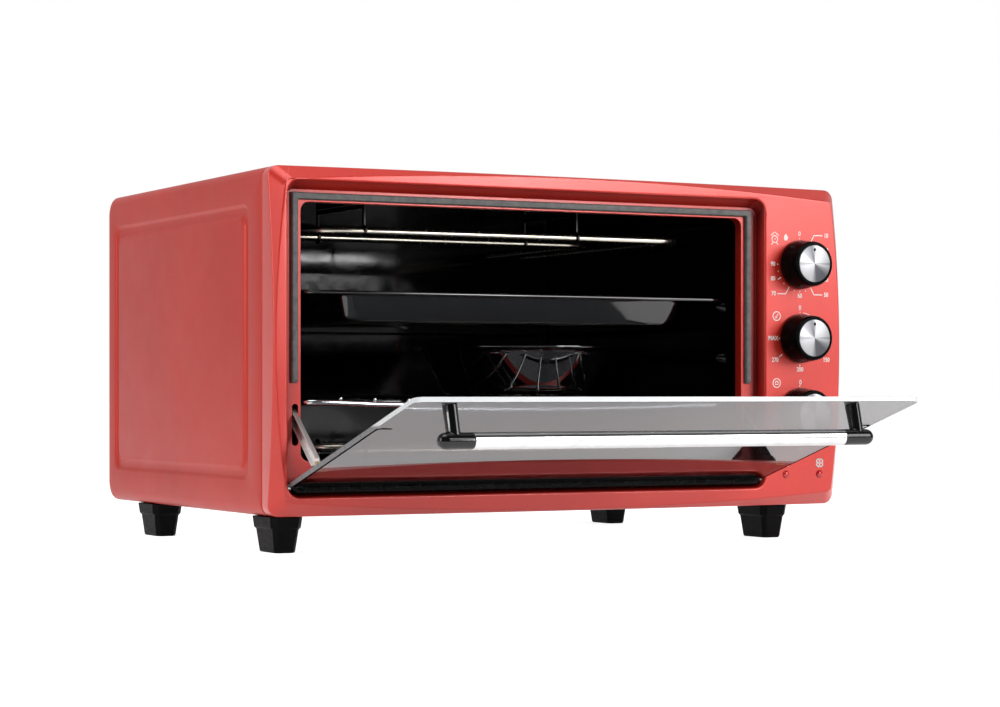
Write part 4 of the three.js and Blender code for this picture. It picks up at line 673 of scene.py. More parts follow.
def front_cutters():
    """The slots of the hinge arms and the holes of hinge pins, knob shafts and lamps."""
    cutters = []
    for x in (ARM_SLOT_X, 2 * MIRROR_X - ARM_SLOT_X):
        slot = rounded_box(x - ARM_SLOT_HALF_WIDTH, ARM_SLOT_Z - ARM_SLOT_HALF_HEIGHT,
                           x + ARM_SLOT_HALF_WIDTH, ARM_SLOT_Z + ARM_SLOT_HALF_HEIGHT, ARM_SLOT_HALF_WIDTH)
        cutters.append(prism("slot", slot, "y", RECESS_DEPTH - 2, RECESS_DEPTH + 4))
    for x in (RECESS[0], RECESS[2]):
        cutters.append(prism("pin", circle(HINGE_Y, HINGE_Z, PIN_HOLE, 32), "x", x - 4, x + 4))
    holes = [(PANEL_X, z, SHAFT_HOLE) for z in KNOB_Z.values()]
    holes += [(x, LAMP_Z, LAMP_HOLE) for x in LAMP_X.values()]
    return cutters + [prism("hole", circle(*hole), "y", -3, 4) for hole in holes]


def front_frame():
    wall = FRAME_WALL
    obj = loft("front_frame_fine", [
        *front_ridge(),
        *front_lip(),
        frame_ring(inset(RECESS, RECESS_WALL), 8.7, 4),
        frame_ring(RECESS_FLOOR, 8, RECESS_DEPTH),
        frame_ring(MOUTH, 7, RECESS_DEPTH),
        frame_ring(MOUTH, 7, NECK_END),
        frame_ring(inset(MOUTH, -wall), 7 + wall, NECK_END),
        frame_ring(inset(MOUTH, -wall), 7 + wall, RECESS_DEPTH + wall),
        frame_ring(inset(RECESS_FLOOR, -wall), 8 + wall, RECESS_DEPTH + wall),
        frame_ring(inset(RECESS, RECESS_WALL - wall), 10, 3.8),
        frame_ring(inset(RECESS, -wall), 10 + wall, wall),
        frame_ring(inset(FACE, wall / 2), 3, wall, SIDE_BOW, LEVEL_BOW),
        frame_ring(inset(OUTER, wall), 9 - wall, 12.3, 0, 0, DEPTH_BOW),
        frame_ring(inset(OUTER, wall), 9 - wall, FRAME_DEPTH - wall),
        frame_ring(inset(OUTER, BACK_FLANGE), 3, FRAME_DEPTH - wall),
        frame_ring(inset(OUTER, BACK_FLANGE), 3, FRAME_DEPTH),
        frame_ring(inset(OUTER, 0.8), 8.2, FRAME_DEPTH),
        frame_ring(OUTER, 9, FRAME_DEPTH - 0.8),
        *front_rim(),
    ], joined=True)
    # the small holes come after the rounding, so that no sliver between two of them is rounded
    settle(soften(obj, 0.4, 3, 48))
    carve(obj, *front_cutters())
    obj.data.set_sharp_from_angle(angle=math.radians(48))
    modify(obj, "WEIGHTED_NORMAL", keep_sharp=True)
    return dress(obj, "cabinet", "red_front", RED_FRONT, "front_frame")


front_frame()
refined("door_gasket", "cabinet", "grey_rubber", RUBBER, 0.25, 2, 40)


# Side panels: shallow pans with a sunk channel round the middle

SEAM = 1.1
CHANNEL_DEPTH, PANEL_DEPTH, PANEL_BEND, PANEL_CORNER, FRONT_BEND, BEND_STEPS = 2, 16, 9, 11, 2, 8
# the channel's profile across its width: how far inwards from its outer edge, and the share of its depth
CHANNEL = [(11, 0), (10.4, 0.06), (9.4, 0.5), (8.4, 0.94), (7.8, 1), (3.2, 1), (2.6, 0.94), (1.6, 0.5),
           (0.6, 0.06), (0, 0)]


def pan_ring(x, edge, front_inset, rear_corner, front_corner, steps=8):
    front, rear = FRAME_DEPTH + SEAM + front_inset, BODY_BACK - edge
    low, high = edge, BODY_HEIGHT - edge
    corners = [(front + front_corner, low + front_corner, front_corner, 2),
               (rear - rear_corner, low + rear_corner, rear_corner, 3),
               (rear - rear_corner, high - rear_corner, rear_corner, 0),
               (front + front_corner, high - front_corner, front_corner, 1)]
    return [(x, y, z) for corner in corners for y, z in quarter_arc(*corner, steps)]


def channel_ring(x, further):
    edge = 26.5 + further
    front, rear = FRAME_DEPTH + 0.3 + edge, BODY_BACK - edge + 4.5
    return [(x, y, z) for y, z in rounded_box(front, edge, rear, BODY_HEIGHT - edge, 10)]


def side_skin(thick):
    rings = [channel_ring(CHANNEL_DEPTH * depth + thick, further) for further, depth in CHANNEL]
    bend = PANEL_BEND - thick
    for step in range(BEND_STEPS + 1):
        angle = step / BEND_STEPS * QUARTER
        x, edge = PANEL_BEND - bend * math.cos(angle), PANEL_BEND - bend * math.sin(angle)
        front_inset = thick + FRONT_BEND - math.sqrt(FRONT_BEND ** 2 - max(FRONT_BEND - x, 0) ** 2)
        rings.append(pan_ring(x, edge, front_inset, PANEL_CORNER - thick, FRONT_BEND))
    rings.append(pan_ring(PANEL_DEPTH, thick, thick, PANEL_CORNER - thick, FRONT_BEND))
    return rings


def side_panel():
    outside, inside = side_skin(0), side_skin(SHEET)
    return loft("side_panel_left_fine", [*reversed(inside), *outside], split=len(inside))


left_panel = side_panel()
right_panel = mirrored(left_panel, "side_panel_right_fine", BODY_WIDTH / 2)
for panel, node in ((left_panel, "side_panel_left"), (right_panel, "side_panel_right")):
    dress(soften(panel, angle=50), "cabinet", "red_cabinet", RED_CABINET, node)

refined("top_panel", "cabinet", "red_cabinet", RED_CABINET, 0.3, 2, 40)
refined("back_panel", "cabinet", "red_cabinet", RED_CABINET, 0.3, 2, 40)
refined("bottom_panel", "cabinet", "steel", STEEL, 0.3, 2, 40)


# Oven cavity with pressed runners

CAVITY = (27, 36, 427, 244)
CAVITY_BACK, RUNNER_TOPS, RUNNER_HEIGHT, RUNNER_REACH = 345, (84.05, 127.05, 170.05), 8, 7
RUNNER_RAMP_STEPS = 6
RUNNER_SHARES = smooth_line([(0, 0), (0.72, 0.14), (1, 0.56), (0.85, 0.94), (0, 1)], 12)


def cavity_ring(y, box, corner, grow, share):
    left, low, right, high = inset(box, -grow)
    ring = rounded_box(left, low, right, high, corner + grow, 8)
    quarter = len(ring) // 4
    runners = []
    for top in RUNNER_TOPS:
        for out, up in RUNNER_SHARES:
            lean = math.copysign(1, up - 0.5) * grow * 2 * abs(up - 0.5) if share > 0 else 0
            runners.append((out * RUNNER_REACH * share, top - RUNNER_HEIGHT * (1 - up) - lean))
    right_wall = [(right - out, z) for out, z in runners]
    left_wall = [(left + out, z) for out, z in reversed(runners)]
    outline = ring[:2 * quarter] + right_wall + ring[2 * quarter:] + left_wall
    return [(x, y, z) for x, z in outline]


def cavity():
    rows = [(21.3, MOUTH, 7, 0), (22.2, inset(MOUTH, 0, -0.5), 7.2, 0), (25.4, inset(CAVITY, 0, 0.5), 8.8, 0),
            (26.3, CAVITY, 9, 0)]
    shares = [step / RUNNER_RAMP_STEPS for step in range(RUNNER_RAMP_STEPS + 1)]
    for share in shares[1:]:
        rows.append((34 + 6 * share, CAVITY, 9, eased(share)))
    for share in shares:
        rows.append((324 + 6 * share, CAVITY, 9, eased(1 - share)))
    rows += [(338, CAVITY, 9, 0), (342.6, inset(CAVITY, 0.7), 8.3, 0),
             (CAVITY_BACK, inset(CAVITY, 2.8), 6.2, 0)]
    inner = [cavity_ring(y, box, corner, 0, share) for y, box, corner, share in rows]
    outer = [cavity_ring(y + SHEET if y > 338 else y, box, corner, SHEET, share)
             for y, box, corner, share in rows]
    obj = loft("oven_cavity_fine", [*reversed(outer), *inner])
    carve(obj, *[prism("tail", circle(x, z, 3.7, 32), "y", 340, 350)
                 for x in (ROD_OUTER_X, ROD_INNER_X) for z in ROD_Z.values()])
    return dress(soften(obj, angle=42), "cabinet", "black_enamel", CAVITY_ENAMEL, "oven_cavity")


def spring_ears():
    """The two ears on the cavity's sides that hold the springs."""
    ear = prism("ear_left", [(19.8, 93), (26.6, 90.6), (26.6, 103.4), (19.8, 101)], "y", EAR_FRONT, EAR_BACK)
    ears = merge("spring_ears", [ear, mirrored(ear, "ear_right")])
    return dress(soften(ears, 0.2), "cabinet", "black_enamel", BLACK_ENAMEL)


cavity()
spring_ears()


# Heating rods and their holders

ROD_RADIUS, ROD_BEND, ROD_END_Y = 3.2, 25, 357
ROD_LOOP_X, ROD_LOOP_Y, ROD_LOOP_RADIUS, ROD_LOOP_STEPS = 90, 100, 45, 20


def rod_path(z):
    """In from the back along the outer tail, round the loop on the left and back along the inner tail."""
    front, rear = ROD_LOOP_Y - ROD_LOOP_RADIUS, ROD_LOOP_Y + ROD_LOOP_RADIUS
    outer = [(ROD_OUTER_X, ROD_END_Y, z), (ROD_OUTER_X, front, z), (ROD_LOOP_X, front, z)]
    inner = [(ROD_LOOP_X, rear, z), (ROD_INNER_X, rear, z), (ROD_INNER_X, ROD_END_Y, z)]
    loop = []
    for step in range(1, ROD_LOOP_STEPS):
        angle = QUARTER + step / ROD_LOOP_STEPS * math.pi
        loop.append((ROD_LOOP_X + ROD_LOOP_RADIUS * math.cos(angle),
                     ROD_LOOP_Y - ROD_LOOP_RADIUS * math.sin(angle), z))
    return [*rounded_path(outer, ROD_BEND), *loop, *rounded_path(inner, ROD_BEND)]


for level, height in ROD_Z.items():
    rod = tube(f"heater_{level}_fine", rod_path(height), ROD_RADIUS, 24)
    dress(soften(rod, angle=60), "cabinet", "steel", ROD_STEEL, f"heater_{level}")
    for side in ("left", "right"):
        refined(f"heater_holder_{level}_{side}", "cabinet", "steel", CLIP_STEEL, 0.15)


# Knobs with turned metal discs

KNOB_TIP, KNOB_SKIRT, KNOB_WIDE, KNOB_NARROW, KNOB_ROUND = -22, -2, 20.6, 18.7, 3
DISC_RADIUS, DISC_THICK = 15.5, 1.3


def knob_body(name, z):
    profile = [(0, -1), (19.6, -1), (20.25, -1.2), (KNOB_WIDE, KNOB_SKIRT)]
    for share in (0.25, 0.5, 0.75, 1):
        profile.append((KNOB_WIDE + (KNOB_NARROW - KNOB_WIDE) * share,
                        KNOB_SKIRT + (KNOB_TIP + KNOB_ROUND - KNOB_SKIRT) * share))
    for step in range(1, 9):
        angle = step / 8 * QUARTER
        profile.append((17 + 1.7 * math.cos(angle), KNOB_TIP + KNOB_ROUND * (1 - math.sin(angle))))
    for radius, behind in ((16.1, 0.02), (15.85, 0.3), (15.8, 1.6), (0, 1.6)):
        profile.append((radius, KNOB_TIP + behind))
    body = turned(f"{name}_knob_fine", profile, "y", (PANEL_X, 0, z), 128)
    carve(body, prism("bore", circle(PANEL_X, z, 3.35), "y", -16, 0))
    return dress(soften(body, angle=38), name, "black_plastic", KNOB_BLACK, f"{name}_knob")


def knob_disc(name, z):
    profile = [(radius, KNOB_TIP + behind) for radius, behind in (
        (0, 0), (15, 0), (15.35, 0.12), (DISC_RADIUS, 0.5), (DISC_RADIUS, DISC_THICK), (0, DISC_THICK))]
    disc = turned(f"{name}_disc_fine", profile, "y", (PANEL_X, 0, z), 128)
    carve(disc, prism("dot", circle(PANEL_X, z + 11.6, 1.25, 32), "y", KNOB_TIP - 2, KNOB_TIP + 3))
    return dress(soften(disc, angle=30), name, "aluminium", DISC, f"{name}_knob_disc")


def lamp(side, x):
    dome = [(0, -1.7)]
    for step in range(7, -1, -1):
        angle = step / 8 * QUARTER
        dome.append((3 * math.cos(angle), -1.7 * math.sin(angle)))
    stem = [(3, 1.5), (4.6, 1.5), (4.6, 3), (3.6, 3), (3.6, 14.5), (0, 14.5)]
    obj = turned(f"lamp_{side}_fine", [*dome, *stem], "y", (x, 0, LAMP_Z), 64)
    return dress(soften(obj, angle=40), "cabinet", "lamp_red", LAMP_RED, f"lamp_{side}")


for name, z in KNOB_Z.items():
    knob_body(name, z)
    knob_disc(name, z)
for side, x in LAMP_X.items():
    lamp(side, x)


# Dial print: thin shapes on the front plane, each (x, z) in body millimetres

PRINT_BACK, PRINT_FRONT = 0.04, -0.07
KNOB_EDGE = 21.6


def print_prism(outline):
    return prism("print", outline, "y", PRINT_BACK, PRINT_FRONT)


def print_line(points, width):
    shapes = []
    for (x0, z0), (x1, z1) in zip(points, points[1:]):
        length = math.hypot(x1 - x0, z1 - z0)
        nx, nz = -(z1 - z0) / length * width / 2, (x1 - x0) / length * width / 2
        shapes.append(print_prism([(x0 + nx, z0 + nz), (x0 - nx, z0 - nz),
                                   (x1 - nx, z1 - nz), (x1 + nx, z1 + nz)]))
    return shapes


def print_dot(x, z, radius=0.45):
    return [print_prism(circle(x, z, radius, 16))]


def print_ring(x, z, radius, width, start=0.0, end=TURN, widen=0.0, steps=40):
    """A ring or arc; angles run clockwise from the top, and widen adds to the width along it."""
    rings = []
    for step in range(steps + 1):
        share = step / steps
        angle, outer = start + (end - start) * share, radius + width + widen * share
        section = box_outline(radius, PRINT_BACK, outer, PRINT_FRONT)
        rings.append([(x + reach * math.sin(angle), y, z + reach * math.cos(angle)) for reach, y in section])
    return [loft("print", rings)]


def print_text(text, x, z, size=4.2):
    curve = bpy.data.curves.new("print", "FONT")
    curve.body = text
    curve.align_x, curve.align_y = "CENTER", "CENTER"
    curve.size = size * 1.35 * MM
    curve.extrude = (PRINT_BACK - PRINT_FRONT) / 2 * MM
    curve.resolution_u = 3
    curve.offset = 0.09 * MM
    letters = new_object("print", curve)
    graph = bpy.context.evaluated_depsgraph_get()
    mesh = bpy.data.meshes.new_from_object(letters.evaluated_get(graph))
    bpy.data.objects.remove(letters)
    middle = place(x, (PRINT_BACK + PRINT_FRONT) / 2, z)
    upright, narrowed = Matrix.Rotation(QUARTER, 4, "X"), Matrix.Diagonal((0.86, 1, 1, 1))
    mesh.transform(Matrix.Translation(middle) @ upright @ narrowed)
    return [new_object("print", mesh)]


def polar(centre_z, degrees, radius):
    angle = math.radians(degrees)
    return PANEL_X + radius * math.sin(angle), centre_z + radius * math.cos(angle)


def leader(centre_z, degrees, far, end_x, width=0.8):
    """A line that leaves the knob outwards and then runs level to its number."""
    far_point = polar(centre_z, degrees, far)
    return print_line([polar(centre_z, degrees, KNOB_EDGE), far_point, (end_x, far_point[1])], width)


def tick(centre_z, degrees, near, far, width=0.85):
    return print_line([polar(centre_z, degrees, near), polar(centre_z, degrees, far)], width)


def numbers(size, *places):
    """Each place is a text, its x and its z."""
    return [shape for text, x, z in places for shape in print_text(text, x, z, size)]


def clock_sign(x, z):
    """An alarm clock: ring, hands, two bells as a chevron, two feet."""
    shapes = print_ring(x, z, 2.5, 0.7) + print_dot(x, z, 0.55)
    shapes += print_line([(x - 4, z + 3), (x, z + 5.9), (x + 4, z + 3)], 0.75)
    for side in (-1, 1):
        shapes += print_line([(x + side * 2, z - 3), (x + side * 3.4, z - 4.8)], 0.8)
    return shapes + print_line([(x, z), (x + 1.5, z + 1.3)], 0.4)


def hand_sign(x, z):
    """An open hand, for the manual setting."""
    palm = [(-1.7, -2.2), (1.1, -2.2), (2, -0.4), (2.3, 1.2), (1.6, 1.3), (1.1, 0.4), (1, 2.2), (0.5, 2.9),
            (-0.2, 3.1), (-0.9, 2.7), (-1.5, 1.8), (-2, 0)]
    return [print_prism([(x + u, z + v) for u, v in palm])]


def timer_print():
    z = KNOB_Z["timer"]
    shapes = [*print_text("0", 477.8, 228), *print_dot(477.9, 224.1)]
    shapes += numbers(3.9, ("10", 504.9, 227.1), ("20", 504.9, 214.6), ("30", 504.9, 202.1),
                      ("40", 504.9, 189.8), ("50", 504.9, 177.1), ("60", 478.1, 175.8), ("70", 451.5, 177.4),
                      ("80", 451, 189.9), ("90", 451, 202.1))
    for degrees, far, end_x in ((30, 29, 501), (150, 28.8, 501), (210, 28.5, 455.4)):
        shapes += leader(z, degrees, far, end_x)
    for degrees in (60, 120, 240):
        shapes += tick(z, degrees, 22, 25.6)
    for degrees, far, radius in ((90, 23, 0.45), (180, 22.6, 0.45), (270, 22.4, 0.6)):
        shapes += print_dot(*polar(z, degrees, far), radius)
    for degrees in range(45, 270, 30):
        shapes += print_dot(*polar(z, degrees, 22.6), 0.5)
    return shapes + clock_sign(452.8, 223) + hand_sign(464.1, 224.4)


def ringed(x, z):
    return print_ring(x, z, 3.3, 0.75)


def thermostat_print():
    z = KNOB_Z["thermostat"]
    shapes = [*print_text("0", 478.3, 165.7), *print_dot(478.3, 162)]
    shapes += numbers(3.9, ("150", 505.2, 122.1), ("200", 478.3, 113.9), ("270", 453.1, 121.8),
                      ("MAX", 451.2, 139.9))
    shapes += tick(z, 124, 22, 25.4) + tick(z, 180, 21.8, 23.4) + tick(z, 233, 22, 26)
    shapes += print_dot(457.2, 139.9, 0.6)
    shapes += print_ring(PANEL_X, z, 21.9, 0.25, math.radians(8), math.radians(110), 1.5)
    # a ring with a small pointer in it
    x, height = 454.7, 158.6
    shapes += ringed(x, height) + print_dot(x - 0.6, height - 1, 0.95)
    return shapes + print_line([(x - 0.6, height - 1), (x + 1.3, height + 1.8)], 0.7)


def selector_print():
    z = KNOB_Z["selector"]
    shapes = [*print_text("0", 478.7, 103), *tick(z, 0, 21.6, 22.8)]
    # a ring with an arch and a bar in it
    x, height = 454.7, 102.5
    shapes += ringed(x, height)
    shapes += print_ring(x, height, 1.1, 0.7, math.radians(-110), math.radians(110), steps=16)
    shapes += print_line([(x - 1.7, height - 1.2), (x + 1.7, height - 1.2)], 0.6)
    # heat from above and below, from below, and from above
    for x, height, bars in ((453.5, 78, (1.4, -1.4)), (478.2, 51.5, (-1.4,)), (503, 78, (1.4,))):
        corners = box_outline(x - 2.9, height - 2.9, x + 2.9, height + 2.9)
        shapes += print_line([*corners, corners[0]], 0.5)
        for bar in bars:
            shapes += print_line([(x - 1.8, height + bar), (x + 1.8, height + bar)], 0.8)
    for degrees in (90, 180, 270):
        shapes += tick(z, degrees, 21.6, 22.8)
    return shapes


def lamp_print():
    """A white square with four cells left open in it, and a dot over the other lamp."""
    x, z = 498.3, 35.1
    outer, border, bar = 3.6, 1.15, 0.9
    shapes = []
    for low, high in ((-outer, border - outer), (-bar / 2, bar / 2), (outer - border, outer)):
        shapes.append(print_prism(box_outline(x - outer, z + low, x + outer, z + high)))
        shapes.append(print_prism(box_outline(x + low, z - outer, x + high, z + outer)))
    return shapes + print_dot(466, 33, 0.6)


PRINTS = {"timer": timer_print, "thermostat": thermostat_print, "selector": selector_print,
          "lamps": lamp_print}
for name, print_shapes in PRINTS.items():
    dress(merge(f"dial_print_{name}", print_shapes()), "cabinet", "red_front", WHITE_PRINT)


# Door: pane, bottom rail, handle and hinge

PANE_HALF, PANE_FRONT = 213.7, 4
PANE_NORMAL = (DOOR.to_3x3() @ Vector((0, -1, 0))).normalized()


def door_glass():
    """The pane, with a ground finish on every face that isn't its front or its back."""
    pane = refined("door_glass", "door", "tinted_glass", GLASS, 0.4, 3, 40)
    pane.data.materials.append(GLASS_EDGE)
    for face in pane.data.polygons:
        face.material_index = 0 if abs(face.normal.dot(PANE_NORMAL)) > 0.7 else 1
    return pane


def pane_print():
    """Thin dark lines up both sides of the pane, each ending in a short dash that turns inwards."""
    shapes = []
    for side in (1, -1):
        edge = MIRROR_X + side * (PANE_HALF - 0.5)
        inner, bend_x, tip = edge - side * 1.7, edge - side * 4, edge - side * 12
        upright = [(edge, 8), (edge, 162.5), (inner, 162.5), (inner, 8)]
        dash = [(edge, 162.5), (bend_x, 165.2), (tip, 164.2), (tip, 161.4), (bend_x, 162.2), (inner, 160)]
        for outline in (upright, dash):
            points = [(x, HINGE_Z + z) for x, z in outline]
            shapes.append(prism("pane_line", points, "y", PANE_FRONT + 0.02, PANE_FRONT - 0.06))
    return dress(opened(merge("pane_print", shapes)), "door", "black_plastic", PANE_BLACK)


door_glass()
pane_print()
refined("door_bottom_rail", "door", "black_plastic", RAIL_BLACK, 0, angle=26)
for side in ("left", "right"):
    refined(f"hinge_pin_{side}", "door", "steel", STEEL, 0.3, 2, 50)
    refined(f"handle_screw_{side}", "door", "steel", CHROME, 0.3, 2, 50)
    refined(f"hinge_bracket_{side}", "door", "zinc", ZINC, 0.2, 2, 34)
    refined(f"hinge_arm_{side}", f"arm_{side}", "chrome", ARM_STEEL, 0.25, 2, 34)

HANDLE_Y, HANDLE_Z = PANE_FRONT - 25.6, 243.2


def handle_bar():
    ends = [(57.6, 5.7, 4.9), (57.9, 6, 4.8), (368, 6, 4.8), (368.3, 5.7, 4.9)]
    profile = [(outer, x) for x, outer, inner in ends] + [(inner, x) for x, outer, inner in reversed(ends)]
    bar = turned("handle_bar_fine", profile, "x", (0, HANDLE_Y, HANDLE_Z), 96)
    return dress(opened(soften(bar, angle=40)), "door", "aluminium", ALUMINIUM, "handle_bar")


def handle_mount(side):
    """The moulded mount: its solid, remeshed so that the stem flows into the head."""
    obj = copied(f"handle_mount_{side}")
    modify(obj, "REMESH", mode="VOXEL", voxel_size=0.4 * MM)
    modify(obj, "SMOOTH", factor=0.5, iterations=5)
    settle(obj)
    obj.data.shade_smooth()
    return dress(obj, "door", "black_plastic", MOUNT_BLACK, f"handle_mount_{side}")


handle_bar()
handle_mount("left")
handle_mount("right")


# Hinge springs

# the ear's middle as Y and Z
SPRING_EAR = (121, 97)
SPRING_X, SPRING_WIRE, COIL_RADIUS, COIL_PITCH, COIL_TURNS, COIL_STEPS = 22.75, 0.45, 1.8, 2.7, 9, 20
SPRING_SHANK = 3.2
# where the hinge arm turns on the door, up the pane and out from it, and how far it reaches to the spring
ARM_UP, ARM_OUT, ARM_REACH = 38, 7, 60
ARM_SHUT_DEGREES, ARM_TURN_SHARE = 28, 0.144


def spring(side):
    turn, arm = math.radians(OPEN_DEGREES), math.radians(ARM_SHUT_DEGREES + ARM_TURN_SHARE * OPEN_DEGREES)
    start = Vector((SPRING_X,
                    HINGE_Y - ARM_UP * math.sin(turn) + ARM_OUT * math.cos(turn) + ARM_REACH * math.cos(arm),
                    HINGE_Z + ARM_UP * math.cos(turn) + ARM_OUT * math.sin(turn) + ARM_REACH * math.sin(arm)))
    # the rear shank runs straight on through the ear
    ear_y, ear_z = SPRING_EAR
    behind = EAR_BACK - EAR_FRONT + SPRING_SHANK
    end = Vector((SPRING_X, ear_y + behind, ear_z + (ear_z - start.z) * behind / (ear_y - start.y)))
    direction, across = (end - start).normalized(), Vector((1, 0, 0))
    up = across.cross(direction)
    count = COIL_TURNS * COIL_STEPS
    path = [start]
    for step in range(count + 1):
        angle = step / COIL_STEPS * TURN
        radius = COIL_RADIUS * min(1, step / (COIL_STEPS / 2), (count - step) / (COIL_STEPS / 2))
        path.append(start + direction * (SPRING_SHANK + step / COIL_STEPS * COIL_PITCH)
                    + across * (radius * math.cos(angle)) + up * (radius * math.sin(angle)))
    return tube(f"hinge_spring_{side}_fine", [*path, end], SPRING_WIRE, 10)


left_spring = spring("left")
right_spring = mirrored(left_spring, "hinge_spring_right_fine")
for obj, node in ((left_spring, "hinge_spring_left"), (right_spring, "hinge_spring_right")):
    dress(soften(obj, angle=60), "cabinet", "zinc", ZINC, node)
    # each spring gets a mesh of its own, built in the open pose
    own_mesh(obj)


# Wire rack, baking tray and round pan

THICK_WIRE, THIN_WIRE, WELD, WIRES, RACK_GAP, RACK_END_GAP = 2.5, 1.5, 0.5, 12, 3.4, 33.3
RACK_Z = RUNNER_TOPS[0] + SEAT + THICK_WIRE
RACK_LEFT, RACK_RIGHT = MOUTH[0] + RACK_GAP + THICK_WIRE, MOUTH[2] - RACK_GAP - THICK_WIRE
RACK_FRONT, RACK_REAR, RACK_RAMP_END = 26, 326, 54
RACK_PITCH = (RACK_RIGHT - RACK_LEFT - 2 * RACK_END_GAP) / (WIRES - 1)
DIP, DIP_STEPS, DIP_EASE_STEPS = 3, 30, 4


def rack_dip(x):
    return -DIP * math.sin((x - MOUTH[0]) / (MOUTH[2] - MOUTH[0]) * math.pi)


def rack_frame():
    """The thick wire round the rack; its front run dips towards the middle."""
    corners = box_outline(RACK_LEFT, RACK_FRONT, RACK_RIGHT, RACK_REAR)
    loop = rounded_path([(x, y, RACK_Z) for x, y in corners], 14, 10, True)
    path = []
    for index, point in enumerate(loop):
        after = loop[(index + 1) % len(loop)]
        at_front = abs(point.y - RACK_FRONT) < 0.01
        dip = rack_dip(point.x) if at_front and 60 < point.x < 400 else 0
        path.append((point.x, point.y, RACK_Z + dip))
        if at_front and abs(after.y - RACK_FRONT) < 0.01:
            for step in range(1, DIP_STEPS):
                between = point.lerp(after, step / DIP_STEPS)
                ease = min(1, step / DIP_EASE_STEPS, (DIP_STEPS - step) / DIP_EASE_STEPS)
                path.append((between.x, between.y, RACK_Z + rack_dip(between.x) * ease))
    return tube("frame", path, THICK_WIRE, 20, True)


def rack_wire(x):
    """A thin wire from front to rear, low at the front where it follows the dip."""
    level = RACK_Z + THICK_WIRE + THIN_WIRE - WELD
    low, ramp_start = level + rack_dip(x), RACK_FRONT + THICK_WIRE
    line = [(x, RACK_FRONT - THIN_WIRE, low), (x, ramp_start, low)]
    for step in range(1, 8):
        share = step / 8
        y = ramp_start + (RACK_RAMP_END - ramp_start) * share
        line.append((x, y, low + (level - low) * eased(share)))
    line += [(x, RACK_RAMP_END, level), (x, RACK_REAR + THIN_WIRE, level)]
    return tube("wire", line, THIN_WIRE, 14)


def wire_rack():
    middle = (RACK_LEFT + RACK_RIGHT) / 2
    wires = [rack_wire(middle + (index - (WIRES - 1) / 2) * RACK_PITCH) for index in range(WIRES)]
    rack = merge("wire_rack_fine", [rack_frame(), *wires])
    return dress(soften(rack, angle=60), "rack", "chrome", CHROME, "wire_rack")


def bend(p0, p1, p2, steps=8):
    """A soft bend from p0 to p2 that leaves towards p1 and arrives from it."""
    return [tuple((1 - t) ** 2 * a + 2 * t * (1 - t) * b + t * t * c for a, b, c in zip(p0, p1, p2))
            for t in (step / steps for step in range(steps + 1))]


TRAY_BOX, TRAY_HEIGHT, TRAY_CORNER = (29.3, 24, 424.7, 322), 25.2, 20
PAN_CENTRE, PAN_HEIGHT = (282, 140, 0), 42


def baking_tray():
    sheet, bead = 0.9, 1.7
    top = RUNNER_TOPS[2] + SEAT + 2 * bead
    bottom, middle = top - TRAY_HEIGHT, top - bead

    def ring(across, along, radius, z):
        return [(x, y, z) for x, y in rounded_box(*inset(TRAY_BOX, across, along), radius, 10)]

    def wall(shrink, z):
        return ring(37 + shrink, 8.6 + shrink, 16 - 0.1 * shrink, z)

    under = [wall(*p) for p in bend((13, bottom), (7.2, bottom), (5.2, bottom + 6.5))]
    under += [wall(*p) for p in bend((0.8, middle - 3.4), (0.2, middle - 0.45), (-2.4, middle - 0.45))]
    rim = []
    for step in range(17):
        angle = math.radians(-75 - step / 16 * 210)
        shrink = bead + bead * math.cos(angle)
        rim.append(ring(shrink, shrink, TRAY_CORNER - shrink, middle + bead * math.sin(angle)))
    over = [wall(*p) for p in bend((-1.4, middle + 0.45), (1.2, middle + 0.45), (1.8, middle - 2.6))]
    over += [wall(*p) for p in bend((6.1, bottom + 7), (8, bottom + sheet), (13.8, bottom + sheet))]
    tray = loft("baking_tray_fine", [*under, *rim, *over])
    return dress(soften(tray, angle=50), "tray", "black_enamel", BLACK_ENAMEL, "baking_tray")


def round_pan():
    bottom = RACK_Z + THICK_WIRE + 2 * THIN_WIRE - WELD + SEAT
    top, sheet = bottom + PAN_HEIGHT, 1.2
    outside = [(0, bottom), *bend((55, bottom), (62.5, bottom), (64.3, bottom + 9))]
    outside += bend((79.6, top - 8), (80.6, top - 3.2), (83.8, top - 2.4))
    roll = []
    for step in range(13):
        angle = math.radians(-120 + step / 12 * 240)
        roll.append((85.4 + 1.6 * math.cos(angle), top - 1.6 + 1.6 * math.sin(angle)))
    inside = bend((83.4, top - 1), (79.6, top - 1.4), (78.4, top - 8))
    inside += bend((63.1, bottom + 9.4), (61.4, bottom + sheet), (54.6, bottom + sheet))
    pan = turned("round_pan_fine", [*outside, *roll, *inside, (0, bottom + sheet)], "z", PAN_CENTRE, 128)
    return dress(soften(pan, angle=50), "pan", "black_enamel", PAN_ENAMEL, "round_pan")


wire_rack()
baking_tray()
round_pan()


# Feet and the pieces that stay as they are

for place_name in ("front_left", "front_right", "rear_left", "rear_right"):
    refined(f"foot_{place_name}", "cabinet", "black_plastic", FOOT_BLACK, 0.5, 3, 30)
refined("cord_gland", "cabinet", "black_plastic", FOOT_BLACK, 0.4, 3, 34)
refined("heat_partition", "cabinet", "steel", STEEL, 0.3)
refined("control_carrier", "cabinet", "steel", STEEL, 0.3)

PLAIN = {"insulation_blanket": WOOL, "terminal_block": CERAMIC}
for control in KNOB_Z:
    PLAIN[f"{control}_unit"] = CERAMIC
    PLAIN[f"{control}_shaft"] = STEEL
for node, material in PLAIN.items():
    mesh = frame["nodes"][node].data
    mesh.materials.clear()
    mesh.materials.append(material)


# Screw heads of the cabinet

